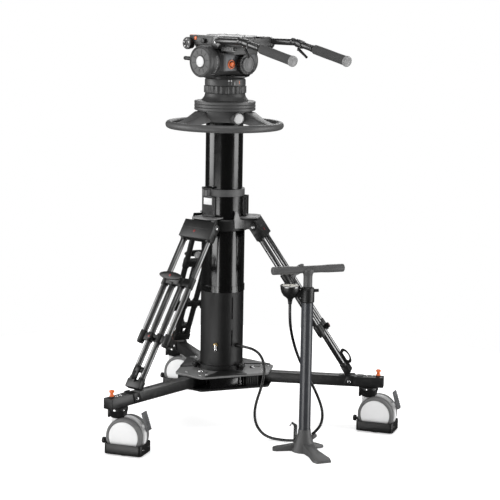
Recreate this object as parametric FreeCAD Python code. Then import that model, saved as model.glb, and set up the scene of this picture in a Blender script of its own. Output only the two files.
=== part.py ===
import FreeCAD, Part
import math
import os

# A pneumatic studio camera stand: a three-arm dolly on twin casters, an air column braced by
# three two-stage legs, a steering ring, a fluid head with two pan bars, and its floor pump.
# Millimetres. +Z is up, the floor is z = 0 and the column axis is x = y = 0. The camera side
# of the photograph is -Y. Angles are degrees, counted anticlockwise from +X seen from above.

V = FreeCAD.Vector

# Clearances between pieces
RUN_GAP = 0.05        # radial gap of a shaft in its hole
FACE_GAP = 0.4        # gap between faces that slide past each other

# Dolly: hub and arms
ARM_AZIMUTHS = {"right": -8.9, "rear": 111.1, "left": 231.1}
ARM_HEIGHT = 38.0
ARM_WIDTH = 40.0
ARM_WALL = 3.0
ARM_PIN_RADIUS = 117.0   # from the column axis to the pin that an arm turns on
ARM_TIP_RADIUS = 605.0
ARM_PIN_R = 9.0
ARM_ROOT_BLOCK = 6.0     # from the root's rounded end to where the hollow tube starts
ARM_TONGUE = 30.0        # length of the root block inside the tube
HUB_LOBE_RADIUS = 187.0
HUB_LOBE_HALF = 63.0
HUB_CORNER = 8.0
HUB_PLATE = 7.0          # lower plate thickness
HUB_TOP_PLATE = 8.0
HUB_COVER = 3.0
HUB_WALL = 6.0
HUB_WALL_SPAN = (-95.0, 12.0)    # along each side of the hub, from its middle
HUB_BLOCK_SPAN = (42.0, 92.0)    # the ribbed latch block beside the wall
HUB_COVER_OUTER = (-118.0, 47.0)
HUB_COVER_INNER = (-48.0, 22.0)
HUB_BOSS_STEP = 5.0      # from the barrel's wall to the boss under it
PIN_HEAD_R = 14.0
LATCH_RADIUS = 100.0
LATCH_OFFSET = -32.0     # degrees from the arm to its latch knob
LATCH_KNOB_R = 12.0
LATCH_KNOB_HEIGHT = 23.0

# Leg feet on the arms
FOOT_RADIUS = 480.0      # where the leg meets the arm
FOOT_CLEAR = 8.0         # from the arm to the lower end of the leg
FOOT_PLATE = 5.0
FOOT_BOLT_R = 7.0
FOOT_BOLT_HEAD = 5.0
FOOT_BOLT_UP = 18.0      # above the arm's underside

# Casters
SWIVEL_RADIUS = 552.0
TRAIL_AZIMUTH = -19.0
TRAIL = 35.0
WHEEL_R = 66.0
WHEEL_WIDTH = 27.0
WHEEL_GAP = 26.0         # between the two wheels of a caster
WHEEL_EDGE = 5.0
CASTER_RISE = 31.0       # from the wheels' tops to the underside of the arms
AXLE_R = 6.0
HOOD_WIDTH = 20.0
HOOD_PLAY = 3.5          # from the wheel's rim to the hood's
SWIVEL_PLATE_R = 34.0
SWIVEL_PLATE = 12.0
SWIVEL_NECK_R = 24.0
SWIVEL_STEM_R = 10.0
SWIVEL_TAB = 26.0        # how far the hanging tab reaches below the swivel plate
PLUG_REACH = 22.0        # from the swivel axis to the inner end of the arm's plug
GUARD_PLAY = 3.5         # from the wheels' rims to the guard's ends
GUARD_SIDE = 4.0         # from the wheels' faces to the guard's sides
GUARD_HEIGHT = 37.0
GUARD_WALL = 4.0
GUARD_CORNER = 12.0
GUARD_CLEAR = 5.0        # from the floor to the cable guard
GUARD_KNOB_R = 11.0
GUARD_KNOB_DEPTH = 16.0
GUARD_KNOB_Y = -18.0
PEDAL_WIDTH = 34.0
PEDAL_ROOT = 9.0
PEDAL_ANGLE = 32.0       # where the pedal's pin sits on the hood's rim, above the axle
PEDAL_PIN_OUT = 2.3      # from the hood's rim to the pedal's pin
PEDAL_PIN_R = 3.0
PEDAL_BOSS_R = 6.0
PULL_KNOB_R = 9.0
PULL_KNOB_HEIGHT = 22.0
PULL_KNOB_BACK = 20.0    # from the arm's tip to the pull knob
PULL_STEM_R = 4.0
PULL_STEM_DEPTH = 14.0
PULL_BUSH = 4.0

# Column, from the inside out
UPPER_R = 68.0
UPPER_WALL = 4.0
BORE_PLAY = 2.0          # from the upper tube to the bore of the tubes round it
LOWER_WALL = 9.0
FLANGE_STEP = 9.0        # from the barrel's wall to its foot flange
JOINT_RING_STEP = 2.5
PAD_STEP = 10.0
PAD_WIDTH = 56.0
COLLAR_WALL = 9.0
CROWN_STEP = 13.0

# Column, from the bottom up
BARREL_LENGTH = 291.6
BARREL_FLANGE = 18.0
JOINT_RING = 22.0
LOWER_LENGTH = 259.0
HOUSING_LENGTH = 93.0
COLLAR_HEIGHT = 25.0
UPPER_SHOWING = 284.0    # from the collar to the turntable with the column at rest
UPPER_LAP = 390.0        # length of upper tube inside the housing and lower tube at rest
PISTON_LENGTH = 40.0
PISTON_GROOVE = 3.0
OUTLET_R = 8.0
OUTLET_BORE_R = 5.0
VALVE_AZIMUTH = 256.0
VALVE_UP = 97.6          # above the hub
VALVE_R = 11.0
VALVE_STEM_R = 5.0
SLOT_AZIMUTH = 298.0
SLOT_WIDTH = 8.0
SLOT_DEPTH = 4.0
SLOTS = ((92.0, 151.0), (192.0, 274.0))   # above the hub
COLLAR_EAR_AZIMUTH = 222.0
COLLAR_EAR_WIDTH = 32.0
COLLAR_EAR_OUT = 16.0
COLLAR_SPLIT = 2.0
COLLAR_POST_R = 5.0
COLLAR_POST_OUT = 8.0
COLLAR_POST_DEPTH = 7.0
COLLAR_POST_TURN = -7.0   # degrees from the ear to the lever's post
COLLAR_LEVER_LENGTH = 46.0
COLLAR_LEVER_WIDTH = 12.0
COLLAR_LEVER_TURN = 82.0  # degrees from the ear to the lever's blade

# Crown and legs
CROWN_LAP = 19.0         # how far the crown reaches up over the housing
CROWN_HEIGHT = 51.0
CROWN_LOBE_HALF = 42.0
LEG_PIVOT_OUT = 42.0     # from the lower tube's wall to a leg's pivot pin
LEG_PIVOT_DOWN = 34.0    # from the crown's top to the pivot pins
LOBE_NOSE = 16.0         # from the pivot pin to the lobe's outer end
LEG_PIN_R = 8.0
LEG_TUBE_R = 10.5
LEG_OUTER_HALF = 58.0    # from the leg's middle line to an outer tube
LEG_INNER_HALF = 21.0
LEG_CHEEK = 15.0
LEG_SKIN = 3.0           # from a tube's wall to the face of a block round it
LEG_BLOCK_FROM = 22.0    # along the leg, from the pivot
LEG_BLOCK_TO = 52.0
LEG_CROSS_AT = 222.0     # middle of the upper end of the inner tubes
LEG_CROSS_LENGTH = 42.0
LEG_LOCK_FROM = 425.0
LEG_LOCK_LENGTH = 40.0
LEG_KNOB_R = 9.0
LEG_KNOB_DEPTH = 22.0
LEG_LEVER_RISE = 46.0    # from the leg's middle plane to the face under the oval lever
LEG_LEVER_HALF_LENGTH = 44.0
LEG_LEVER_HALF_WIDTH = 15.0
LEG_LEVER_THICK = 9.0
LEG_LEVER_PIN_R = 5.0
LEG_LEVER_PIN_DEPTH = 12.0
LEG_DRUM_R = 15.0
LEG_FOOT_LENGTH = 40.0
LEG_HOOK_WIDTH = 12.0

# Top of the column
DISC_R = 111.0
DISC_HEIGHT = 34.0
DISC_GROOVE = 2.0
SKIRT_OUT = 32.0         # from the upper tube's wall to the skirt's
SKIRT_ROOT_OUT = 10.0
SKIRT_HEIGHT = 41.0
SKIRT_SLOPE = 26.0
RING_DOWN = 53.5         # from the turntable's underside to the ring's middle
RING_CENTRE_R = 201.6
RING_TUBE_R = 13.5
SPOKE_AZIMUTHS = (-28.0, 92.0, 212.0)
SPOKE_WIDTH = 66.0
BOSS_AZIMUTH = 297.0
BOSS_R = 22.0
BOSS_OUT = 22.0

# Head. Its own frame: +x towards the operator, -y towards the end cap that the photograph shows
HEAD_YAW = -45.0
HEAD_BASE_R = 85.0
HEAD_BASE_HEIGHT = 28.0
HEAD_NECK_R = 73.0
DRAG_RING_R = 77.0
DRAG_RING_HEIGHT = 27.0
DRAG_FLUTES = 26
DRAG_FLUTE_R = 3.2
PAN_RING_R = 74.0
PAN_RING_HEIGHT = 26.0
PAN_LID = 8.0
PAN_STEM_R = 40.0
TILT_X = 8.0
TILT_UP = 62.0           # from the pan ring's top to the tilt axis
TILT_DRUM_R = 54.0
TILT_PIN_R = 12.0
YOKE_HALF = 38.0
YOKE_SHOE = 5.0
YOKE_R = 52.0
LEFT_INNER = -82.0
LEFT_OUTER = -114.0
RIGHT_INNER = 86.0
RIGHT_OUTER = 108.0
DIAL_R = 56.0
DIAL_WIDTH = 21.0
DIAL_EDGE = 3.0
PANEL_X = 72.0
PANEL_ROOT_X = 10.0
PANEL_DOWN = 34.0        # from the tilt axis to the panel's lower edge
PANEL_UP = 31.0
PANEL_LEFT = -78.0
PANEL_RIGHT = 82.0
CB_KNOB_R = 38.0
CB_KNOB_Y = 15.0
CB_KNOB_DEPTH = 32.0
CB_SHAFT_R = 8.0
CB_SHAFT_DEPTH = 11.0
CB_FLUTES = 28
CB_FLUTE_R = 2.2
HEAD_KNOB_DOWN = 9.0     # from the tilt axis to the operator's knob and button
BUTTON_Y = -43.0
BUTTON_R = 9.0
BUTTON_GAP = 0.3
BUTTON_RING_R = 16.0
BUTTON_RING = 3.0
BUTTON_OUT = 8.0
BUTTON_DEPTH = 8.0
BUTTON_POCKET = 14.0
BRAKE_Y = -100.0
BRAKE_UP = 6.0
BRAKE_PIN_R = 5.0
BRAKE_PIN_DEPTH = 11.0
BRAKE_HUB_R = 10.0
BRAKE_HUB = 9.0
BRAKE_LEVER_LENGTH = 54.0
BRAKE_LEVER_R = 5.5

# Camera platform
PLATFORM_FRONT = -121.0
PLATFORM_REAR = 154.0
PLATFORM_HALF = 68.0
PLATFORM_UP = 56.0       # from the tilt axis to the platform's underside
PLATFORM_HEIGHT = 34.0
PLATFORM_CORNER = 6.0
NECK_INSET = 8.0
PLATE_HALF = 32.0
PLATE_FRONT = -70.0
PLATE_REAR = 128.0
PLATE_RISE = 4.0         # from the platform's top to the camera plate's
PLATE_SUNK = 6.0
PLATE_TONGUE = 5.0
PLATE_TONGUE_HEIGHT = 3.0
PLATE_GAP = 0.1
CAMERA_SCREW_R = 4.76
CAMERA_SCREW_SPACING = 60.0
LOCK_KNOB_X = -40.0
LOCK_KNOB_UP = 15.0
LOCK_KNOB_R = 10.0
LOCK_KNOB_DEPTH = 10.0
LOCK_SHAFT_R = 4.0
LOCK_SHAFT_DEPTH = 19.0
SPARE_ROSETTE_BACK = 5.0
SPARE_ROSETTE_OUT = 18.0
SPARE_ROSETTE_UP = 4.0

# Pan bars
BAR_HALF = 88.0
BAR_DOWN = 16.0          # from the platform's top to the bars' middle line
BAR_PIVOTS = {"left": 45.0, "right": 133.0}
BAR_INNER_LENGTH = 131.0
BAR_DROP = 13.0          # degrees that the outer part hangs below the inner part
BAR_ROSETTE_DROP = 6.0
BAR_PIN_R = 5.0
BAR_PIN_DEPTH = 8.0
BAR_OUTER_R = 11.5
BAR_INNER_R = 9.0
BAR_SLEEVE_LENGTH = 86.0
BAR_COLLAR_WALL = 3.0
BAR_COLLAR_HALF = 16.0
BAR_LEVER_AT = 20.0
BAR_LEVER_REACH = 26.0
BAR_LEVER_POST_R = 3.0
BAR_LEVER_HUB_R = 6.0
BAR_LEVER_R = 3.6
BAR_LEVER_TIP_R = 4.6
GRIP_FROM = 92.0
GRIP_LENGTH = 164.0
GRIP_R = 16.5
GRIP_CAP = 14.0
GRIP_CAP_STEP = 2.5
ROSETTE_R = 22.0
ROSETTE_OUT = 8.0

# Floor pump
PUMP_X = 301.0
PUMP_Y = -372.0
PUMP_BARREL_R = 20.5
PUMP_BORE_R = 18.0
PUMP_ROD_R = 6.0
PUMP_CONE_R = 38.0
PUMP_CONE_STEP = 8.0
PUMP_CONE_TOP = 78.0
PUMP_SOCKET = 40.0       # floor of the barrel's socket in the cone
PUMP_CAP_BOTTOM = 531.0
PUMP_CAP_TOP = 584.0
PUMP_CAP_LAP = 10.0
PUMP_CAP_R = 24.0
PUMP_BAR_UP = 62.0       # from the cap's top to the handle's middle line
PUMP_BAR_HALF = 133.0
PUMP_BAR_YAW = 20.0
PUMP_BAR_R = 14.0
PUMP_CUP_AT = 100.0
PUMP_CUP = 12.0
PUMP_NECK_R = 16.0
PUMP_NUB_R = 7.0
GAUGE_R = 35.0
GAUGE_OUT = 60.0
GAUGE_RISE = 6.0         # from the cap's top to the gauge's face
GAUGE_DEPTH = 46.0
GAUGE_BRIDGE = 9.0
PUMP_FEET = ((180.0, 111.0, 22.0), (-67.0, 167.0, 35.0), (44.0, 82.0, 24.0))
PUMP_FOOT_HEIGHT = 40.0
PUMP_FOOT_TIP = 9.0
PORT_R = 7.0
PORT_LENGTH = 26.0
HOOK_X = -31.0
HOOK_Y = 32.0
HOOK_PIVOT_Z = 20.0
HOOK_LENGTH = 74.0
HOOK_HALF = 8.0
HOOK_THICK = 3.0
HOOK_CURL = 12.0
HOOK_PIN_R = 3.5

# Hoses, from the column to the pump and from the gauge to the pump
HOSE_R = 5.0
AIR_HOSE = [
    (73.9, -68.9, 302.0),
    (96.0, -89.5, 302.0),
    (121.0, -106.0, 298.4),
    (146.0, -122.0, 281.1),
    (159.8, -137.6, 246.8),
    (157.4, -156.4, 204.5),
    (144.8, -175.0, 161.2),
    (130.0, -191.4, 119.9),
    (125.0, -206.2, 79.6),
    (133.0, -221.4, 45.3),
    (155.0, -236.6, 19.0),
    (185.0, -251.8, 8.0),
    (217.0, -266.6, 7.0),
    (243.2, -279.0, 8.0),
    (265.6, -294.6, 13.0),
    (283.2, -313.4, 19.0),
    (294.0, -334.0, 25.0),
]
GAUGE_HOSE = [
    (241.0, -372.0, 522.0),
    (241.0, -372.0, 482.0),
    (245.0, -362.0, 436.0),
    (255.0, -346.0, 388.0),
    (270.0, -333.0, 339.0),
    (290.0, -325.0, 292.0),
    (313.0, -322.0, 250.0),
    (335.0, -323.0, 210.0),
    (353.0, -326.0, 170.0),
    (365.0, -331.0, 132.0),
    (364.0, -339.0, 97.0),
    (350.0, -350.0, 71.0),
    (329.0, -359.0, 56.0),
]

parts = {}


def add(name, *solids):
    """Keep the solids of one named sub-part."""
    shape = solids[0] if len(solids) == 1 else Part.makeCompound(list(solids))
    parts[name] = shape


def cyl(radius, z0, z1, x=0.0, y=0.0):
    """Upright cylinder from z0 to z1."""
    return Part.makeCylinder(radius, z1 - z0, V(x, y, z0))


def rod(start, end, radius):
    """Cylinder from one point to another."""
    a, b = V(*start), V(*end)
    return Part.makeCylinder(radius, (b - a).Length, a, b - a)


def ring(outer, inner, z0, z1, x=0.0, y=0.0):
    """Upright ring."""
    return cyl(outer, z0, z1, x, y).cut(cyl(inner, z0 - 1, z1 + 1, x, y))


def box(x0, x1, y0, y1, z0, z1):
    return Part.makeBox(x1 - x0, y1 - y0, z1 - z0, V(x0, y0, z0))


def soften(shape, radius, choose):
    """Round the edges that choose() picks."""
    edges = [edge for edge in shape.Edges if choose(edge)]
    return shape.makeFillet(radius, edges)


def upright(edge):
    a, b = edge.Vertexes[0].Point, edge.Vertexes[-1].Point
    return abs(a.x - b.x) < 1e-6 and abs(a.y - b.y) < 1e-6 and abs(a.z - b.z) > 1e-6


def rounded_box(x0, x1, y0, y1, z0, z1, radius):
    """Box with its upright edges rounded."""
    return soften(box(x0, x1, y0, y1, z0, z1), radius, upright)


def prism(points, z0, z1):
    """Upright prism on a polygon."""
    corners = [V(x, y, z0) for x, y in points]
    wire = Part.makePolygon(corners + [corners[0]])
    return Part.Face(wire).extrude(V(0, 0, z1 - z0))


def slab(points, y0, y1):
    """Prism on a polygon of x, z points, from y0 to y1."""
    corners = [V(x, y0, z) for x, z in points]
    wire = Part.makePolygon(corners + [corners[0]])
    return Part.Face(wire).extrude(V(0, y1 - y0, 0))


def turned(points, x=0.0, y=0.0):
    """Solid of revolution about an upright axis, from radius, z points."""
    corners = [V(x + r, y, z) for r, z in points]
    wire = Part.makePolygon(corners + [corners[0]])
    return Part.Face(wire).revolve(V(x, y, 0), V(0, 0, 1), 360)


def turn(shape, azimuth, centre=(0, 0, 0), axis=(0, 0, 1)):
    """Copy of a shape, turned about an axis."""
    copy = shape.copy()
    copy.rotate(V(*centre), V(*axis), azimuth)
    return copy


def shift(shape, x=0.0, y=0.0, z=0.0):
    copy = shape.copy()
    copy.translate(V(x, y, z))
    return copy


def union(*shapes):
    whole = shapes[0]
    for shape in shapes[1:]:
        whole = whole.fuse(shape)
    return whole.removeSplitter()


def polar(radius, azimuth, z=0.0):
    a = math.radians(azimuth)
    return (radius * math.cos(a), radius * math.sin(a), z)


# Levels and radii that follow from the sizes above
ARM_BOTTOM = 2 * WHEEL_R + CASTER_RISE
ARM_TOP = ARM_BOTTOM + ARM_HEIGHT
HUB_LOW = ARM_BOTTOM - FACE_GAP - HUB_PLATE
HUB_HIGH = ARM_TOP + FACE_GAP + HUB_TOP_PLATE
HUB_SIDE = (HUB_LOBE_RADIUS + math.sqrt(3) * HUB_LOBE_HALF) / 2
BORE_R = UPPER_R + BORE_PLAY
BARREL_R = BORE_R + LOWER_WALL
BARREL_FLANGE_R = BARREL_R + FLANGE_STEP
HUB_BOSS_R = BARREL_R + HUB_BOSS_STEP
PAD_RADIUS = BARREL_R + PAD_STEP
COLLAR_R = UPPER_R + COLLAR_WALL
BARREL_TOP = HUB_HIGH + BARREL_LENGTH
HOUSING_BOTTOM = BARREL_TOP + LOWER_LENGTH
HOUSING_TOP = HOUSING_BOTTOM + HOUSING_LENGTH
COLLAR_TOP = HOUSING_TOP + COLLAR_HEIGHT
DISC_BOTTOM = COLLAR_TOP + UPPER_SHOWING
DISC_TOP = DISC_BOTTOM + DISC_HEIGHT
UPPER_BOTTOM = HOUSING_TOP - UPPER_LAP
VALVE_HEIGHT = HUB_HIGH + VALVE_UP
CROWN_TOP = HOUSING_BOTTOM + CROWN_LAP
CROWN_BOTTOM = CROWN_TOP - CROWN_HEIGHT
LEG_PIVOT_RADIUS = BARREL_R + LEG_PIVOT_OUT
LEG_PIVOT_HEIGHT = CROWN_TOP - LEG_PIVOT_DOWN
LEG_REACH = FOOT_RADIUS - LEG_PIVOT_RADIUS
LEG_DROP = LEG_PIVOT_HEIGHT - ARM_TOP - FOOT_CLEAR
LEG_TILT = math.degrees(math.atan2(LEG_REACH, LEG_DROP))
LEG_LENGTH = math.hypot(LEG_REACH, LEG_DROP)
LEG_LOCK_TO = LEG_LOCK_FROM + LEG_LOCK_LENGTH
HOOD_R = WHEEL_R + HOOD_PLAY
GUARD_HALF = WHEEL_R + GUARD_PLAY
GUARD_SIDE_HALF = WHEEL_GAP / 2 + WHEEL_WIDTH + GUARD_SIDE + GUARD_WALL
PEDAL_ARM = HOOD_R + PEDAL_PIN_OUT
PEDAL_PIVOT_X = TRAIL + PEDAL_ARM * math.cos(math.radians(PEDAL_ANGLE))
PEDAL_PIVOT_Z = WHEEL_R + PEDAL_ARM * math.sin(math.radians(PEDAL_ANGLE))
SKIRT_R = UPPER_R + SKIRT_OUT
SKIRT_ROOT_R = UPPER_R + SKIRT_ROOT_OUT
SKIRT_BOTTOM = DISC_BOTTOM - SKIRT_HEIGHT
RING_HEIGHT = DISC_BOTTOM - RING_DOWN
HEAD_BASE_TOP = DISC_TOP + HEAD_BASE_HEIGHT
DRAG_RING_TOP = HEAD_BASE_TOP + DRAG_RING_HEIGHT
PAN_RING_TOP = DRAG_RING_TOP + PAN_RING_HEIGHT
TILT_Z = PAN_RING_TOP + TILT_UP
HEAD_KNOB_Z = TILT_Z - HEAD_KNOB_DOWN
BRAKE_Z = TILT_Z + BRAKE_UP
PLATFORM_BOTTOM = TILT_Z + PLATFORM_UP
PLATFORM_TOP = PLATFORM_BOTTOM + PLATFORM_HEIGHT
PLATE_TOP = PLATFORM_TOP + PLATE_RISE
PLATE_SEAT = PLATFORM_TOP - PLATE_SUNK
LOCK_KNOB_Z = PLATFORM_BOTTOM + LOCK_KNOB_UP
BAR_Z = PLATFORM_TOP - BAR_DOWN
BAR_PIVOT_Z = BAR_Z - BAR_ROSETTE_DROP
BAR_COLLAR_R = BAR_OUTER_R + BAR_COLLAR_WALL
PUMP_BAR_Z = PUMP_CAP_TOP + PUMP_BAR_UP
GAUGE_TOP = PUMP_CAP_TOP + GAUGE_RISE


def hub_outline():
    points = []
    for azimuth in ARM_AZIMUTHS.values():
        for side in (-1, 1):
            offset = math.degrees(math.atan2(side * HUB_LOBE_HALF, HUB_LOBE_RADIUS))
            reach = math.hypot(HUB_LOBE_RADIUS, HUB_LOBE_HALF)
            x, y, _ = polar(reach, azimuth + offset)
            points.append((x, y))
    return points


def make_hub():
    """Two plates that the arms turn between, and the boss and side walls that join them."""
    outline = hub_outline()
    floor = ARM_BOTTOM - FACE_GAP
    ceiling = ARM_TOP + FACE_GAP
    pin_holes = [cyl(ARM_PIN_R, HUB_LOW - 1, HUB_HIGH + 1, *polar(ARM_PIN_RADIUS, a)[:2])
                 for a in ARM_AZIMUTHS.values()]
    outer_face = HUB_SIDE - HUB_WALL
    wall = box(outer_face - HUB_WALL, outer_face, *HUB_WALL_SPAN, floor, ceiling)
    block = box(outer_face - 4 * HUB_WALL, outer_face, *HUB_BLOCK_SPAN, floor, ceiling)
    cover_root = BARREL_FLANGE_R + 2
    cover = prism([(cover_root, HUB_COVER_INNER[0]), (HUB_SIDE, HUB_COVER_OUTER[0]),
                   (HUB_SIDE, HUB_COVER_OUTER[1]), (cover_root, HUB_COVER_INNER[1])],
                  HUB_HIGH, HUB_HIGH + HUB_COVER)
    walls = []
    hardware = []
    for azimuth in ARM_AZIMUTHS.values():
        walls.append(turn(wall, azimuth + 60))
        walls.append(turn(block, azimuth + 60))
        hardware.append(turn(cover, azimuth + 60))

    lower = soften(prism(outline, HUB_LOW, floor), HUB_CORNER, upright)
    pan = cyl(HUB_BOSS_R, HUB_LOW - HUB_PLATE, HUB_LOW)
    boss = cyl(HUB_BOSS_R, floor, ceiling)
    lower = union(lower, pan)
    upper = soften(prism(outline, ceiling, HUB_HIGH), HUB_CORNER, upright)
    for hole in pin_holes:
        lower = lower.cut(hole)
        upper = upper.cut(hole)
    add("hub_lower_plate", lower, boss, *walls)
    add("hub_upper_plate", upper)

    base = HUB_HIGH + HUB_COVER
    top = base + LATCH_KNOB_HEIGHT
    for azimuth in ARM_AZIMUTHS.values():
        x, y, _ = polar(ARM_PIN_RADIUS, azimuth)
        dome = turned([(0, HUB_HIGH), (PIN_HEAD_R, HUB_HIGH), (PIN_HEAD_R, HUB_HIGH + 3),
                       (PIN_HEAD_R - 3, HUB_HIGH + 6), (0, HUB_HIGH + 7)], x, y)
        hardware.append(union(cyl(ARM_PIN_R, HUB_LOW, HUB_HIGH, x, y), dome))
        x, y, _ = polar(LATCH_RADIUS, azimuth + LATCH_OFFSET)
        hardware.append(turned([(0, base), (LATCH_KNOB_R - 5, base), (LATCH_KNOB_R - 5, base + 8),
                                (LATCH_KNOB_R, base + 10), (LATCH_KNOB_R, top - 3),
                                (LATCH_KNOB_R - 3, top), (0, top)], x, y))
    add("hub_bolts", *hardware)


def make_arm(azimuth):
    """Box-section arm with its root block, end plug and the bracket that takes the leg's foot."""
    half = ARM_WIDTH / 2
    root = ARM_PIN_RADIUS + half + ARM_ROOT_BLOCK
    inside = (-half + ARM_WALL, half - ARM_WALL, ARM_BOTTOM + ARM_WALL, ARM_TOP - ARM_WALL)
    tube = box(root, ARM_TIP_RADIUS - ARM_WALL, -half, half, ARM_BOTTOM, ARM_TOP)
    tube = tube.cut(box(root - 1, ARM_TIP_RADIUS, *inside))
    block = union(cyl(half, ARM_BOTTOM, ARM_TOP, ARM_PIN_RADIUS, 0),
                  box(ARM_PIN_RADIUS, root, -half, half, ARM_BOTTOM, ARM_TOP),
                  box(root, root + ARM_TONGUE, *inside))
    block = block.cut(cyl(ARM_PIN_R + RUN_GAP, ARM_BOTTOM - 1, ARM_TOP + 1, ARM_PIN_RADIUS, 0))
    end_cap = rounded_box(ARM_TIP_RADIUS - ARM_WALL, ARM_TIP_RADIUS, -half, half,
                          ARM_BOTTOM, ARM_TOP, 1)
    plug = union(end_cap, box(SWIVEL_RADIUS - PLUG_REACH, ARM_TIP_RADIUS - ARM_WALL, *inside))
    swivel_hole = cyl(SWIVEL_STEM_R + RUN_GAP, ARM_BOTTOM - 1, ARM_TOP - 2 * ARM_WALL,
                      SWIVEL_RADIUS, 0)
    knob_x = ARM_TIP_RADIUS - PULL_KNOB_BACK
    knob_hole = cyl(PULL_STEM_R + RUN_GAP, ARM_TOP - PULL_STEM_DEPTH - 6, ARM_TOP + 1, knob_x, 0)
    tube = tube.cut(swivel_hole).cut(knob_hole)
    plug = plug.cut(swivel_hole).cut(knob_hole)
    bush = ring(PULL_KNOB_R - 1, PULL_STEM_R + RUN_GAP, ARM_TOP, ARM_TOP + PULL_BUSH, knob_x, 0)
    pieces = [tube, block, plug, bush]
    bolt_z = ARM_BOTTOM + FOOT_BOLT_UP
    for side in (-1, 1):
        face = side * (half + FOOT_PLATE)
        y0, y1 = sorted((side * half, face))
        ear = slab([(FOOT_RADIUS - 22, ARM_BOTTOM + 4), (FOOT_RADIUS + 12, ARM_BOTTOM + 4),
                    (FOOT_RADIUS + 20, ARM_TOP + 3), (FOOT_RADIUS - 8, ARM_TOP + 3)], y0, y1)
        bolt = rod((FOOT_RADIUS, face, bolt_z), (FOOT_RADIUS, face + side * FOOT_BOLT_HEAD, bolt_z),
                   FOOT_BOLT_R)
        pieces += [ear, bolt]
    return [turn(piece, azimuth) for piece in pieces]


def make_pull_knob(azimuth):
    """Spring-loaded knob on the arm's end that frees the caster's swivel lock."""
    x = ARM_TIP_RADIUS - PULL_KNOB_BACK
    base = ARM_TOP + PULL_BUSH + FACE_GAP
    top = base + PULL_KNOB_HEIGHT
    knob = turned([(0, base), (PULL_KNOB_R - 1, base), (PULL_KNOB_R - 1, base + 4),
                   (PULL_KNOB_R - 4, base + 8), (PULL_KNOB_R - 3, base + 13),
                   (PULL_KNOB_R, base + 16), (PULL_KNOB_R, top - 3), (PULL_KNOB_R - 3, top),
                   (0, top)], x, 0)
    stem = cyl(PULL_STEM_R, ARM_TOP - PULL_STEM_DEPTH, base, x, 0)
    return turn(union(knob, stem), azimuth)


def caster_place(shape, azimuth):
    """Put a shape made about the swivel axis, trailing along +x, under an arm."""
    x, y, _ = polar(SWIVEL_RADIUS, azimuth)
    return shift(turn(shape, TRAIL_AZIMUTH), x, y)


def make_guard():
    """Cable guard: an open box round the wheels, its middle web and its side knob."""
    high = GUARD_CLEAR + GUARD_HEIGHT
    front, rear = TRAIL - GUARD_HALF, TRAIL + GUARD_HALF
    outer = rounded_box(front, rear, -GUARD_SIDE_HALF, GUARD_SIDE_HALF, GUARD_CLEAR, high,
                        GUARD_CORNER)
    inner = rounded_box(front + GUARD_WALL, rear - GUARD_WALL, -GUARD_SIDE_HALF + GUARD_WALL,
                        GUARD_SIDE_HALF - GUARD_WALL, GUARD_CLEAR - 1, high + 1,
                        GUARD_CORNER - GUARD_WALL + 1)
    half = HOOD_WIDTH / 2
    web = box(front + GUARD_WALL / 2, rear - GUARD_WALL / 2, -half, half, GUARD_CLEAR + 12, high)
    knob = rod((front + 1, GUARD_KNOB_Y, high + 2), (front - GUARD_KNOB_DEPTH, GUARD_KNOB_Y, high + 2),
               GUARD_KNOB_R)
    lug = box(front, front + GUARD_WALL, GUARD_KNOB_Y - 6, GUARD_KNOB_Y + 10, high - 4, high + 10)
    return union(outer.cut(inner), web, knob, lug)


def make_caster_frame():
    """Swivel plate and stem, the hood between the wheels, the axle and the cable guard."""
    plate_high = ARM_BOTTOM - FACE_GAP
    plate_low = plate_high - SWIVEL_PLATE
    plate = cyl(SWIVEL_PLATE_R, plate_low, plate_high)
    stem = cyl(SWIVEL_STEM_R, plate_low, ARM_TOP - 2 * ARM_WALL - FACE_GAP)
    neck_low = WHEEL_R + HOOD_R - 6
    neck = turned([(0, neck_low), (SWIVEL_NECK_R, neck_low), (SWIVEL_NECK_R + 6, plate_low),
                   (0, plate_low)])
    tab = box(-SWIVEL_PLATE_R - 2, -SWIVEL_PLATE_R + 6, -12, 12, plate_low - SWIVEL_TAB, plate_high)
    half = HOOD_WIDTH / 2
    disc = rod((TRAIL, -half, WHEEL_R), (TRAIL, half, WHEEL_R), HOOD_R)
    disc = disc.common(box(TRAIL - HOOD_R, TRAIL + HOOD_R, -half, half, WHEEL_R / 2 - 3,
                           WHEEL_R + HOOD_R))
    bridge = box(-SWIVEL_NECK_R - 2, TRAIL + 10, -half, half, WHEEL_R + 20, neck_low + 2)
    reach = WHEEL_GAP / 2 + WHEEL_WIDTH
    axle = rod((TRAIL, -reach, WHEEL_R), (TRAIL, reach, WHEEL_R), AXLE_R)
    eye = rod((PEDAL_PIVOT_X, -half, PEDAL_PIVOT_Z), (PEDAL_PIVOT_X, half, PEDAL_PIVOT_Z),
              PEDAL_BOSS_R + 1)
    frame = union(plate, stem, neck, tab, disc, bridge, make_guard(), axle, eye)
    pocket_half = PEDAL_ROOT / 2 + FACE_GAP
    pocket = rod((PEDAL_PIVOT_X, -pocket_half, PEDAL_PIVOT_Z),
                 (PEDAL_PIVOT_X, pocket_half, PEDAL_PIVOT_Z), PEDAL_BOSS_R + 2)
    pin = rod((PEDAL_PIVOT_X, -half - 1, PEDAL_PIVOT_Z), (PEDAL_PIVOT_X, half + 1, PEDAL_PIVOT_Z),
              PEDAL_PIN_R + RUN_GAP)
    return frame.cut(pocket).cut(pin)


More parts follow.
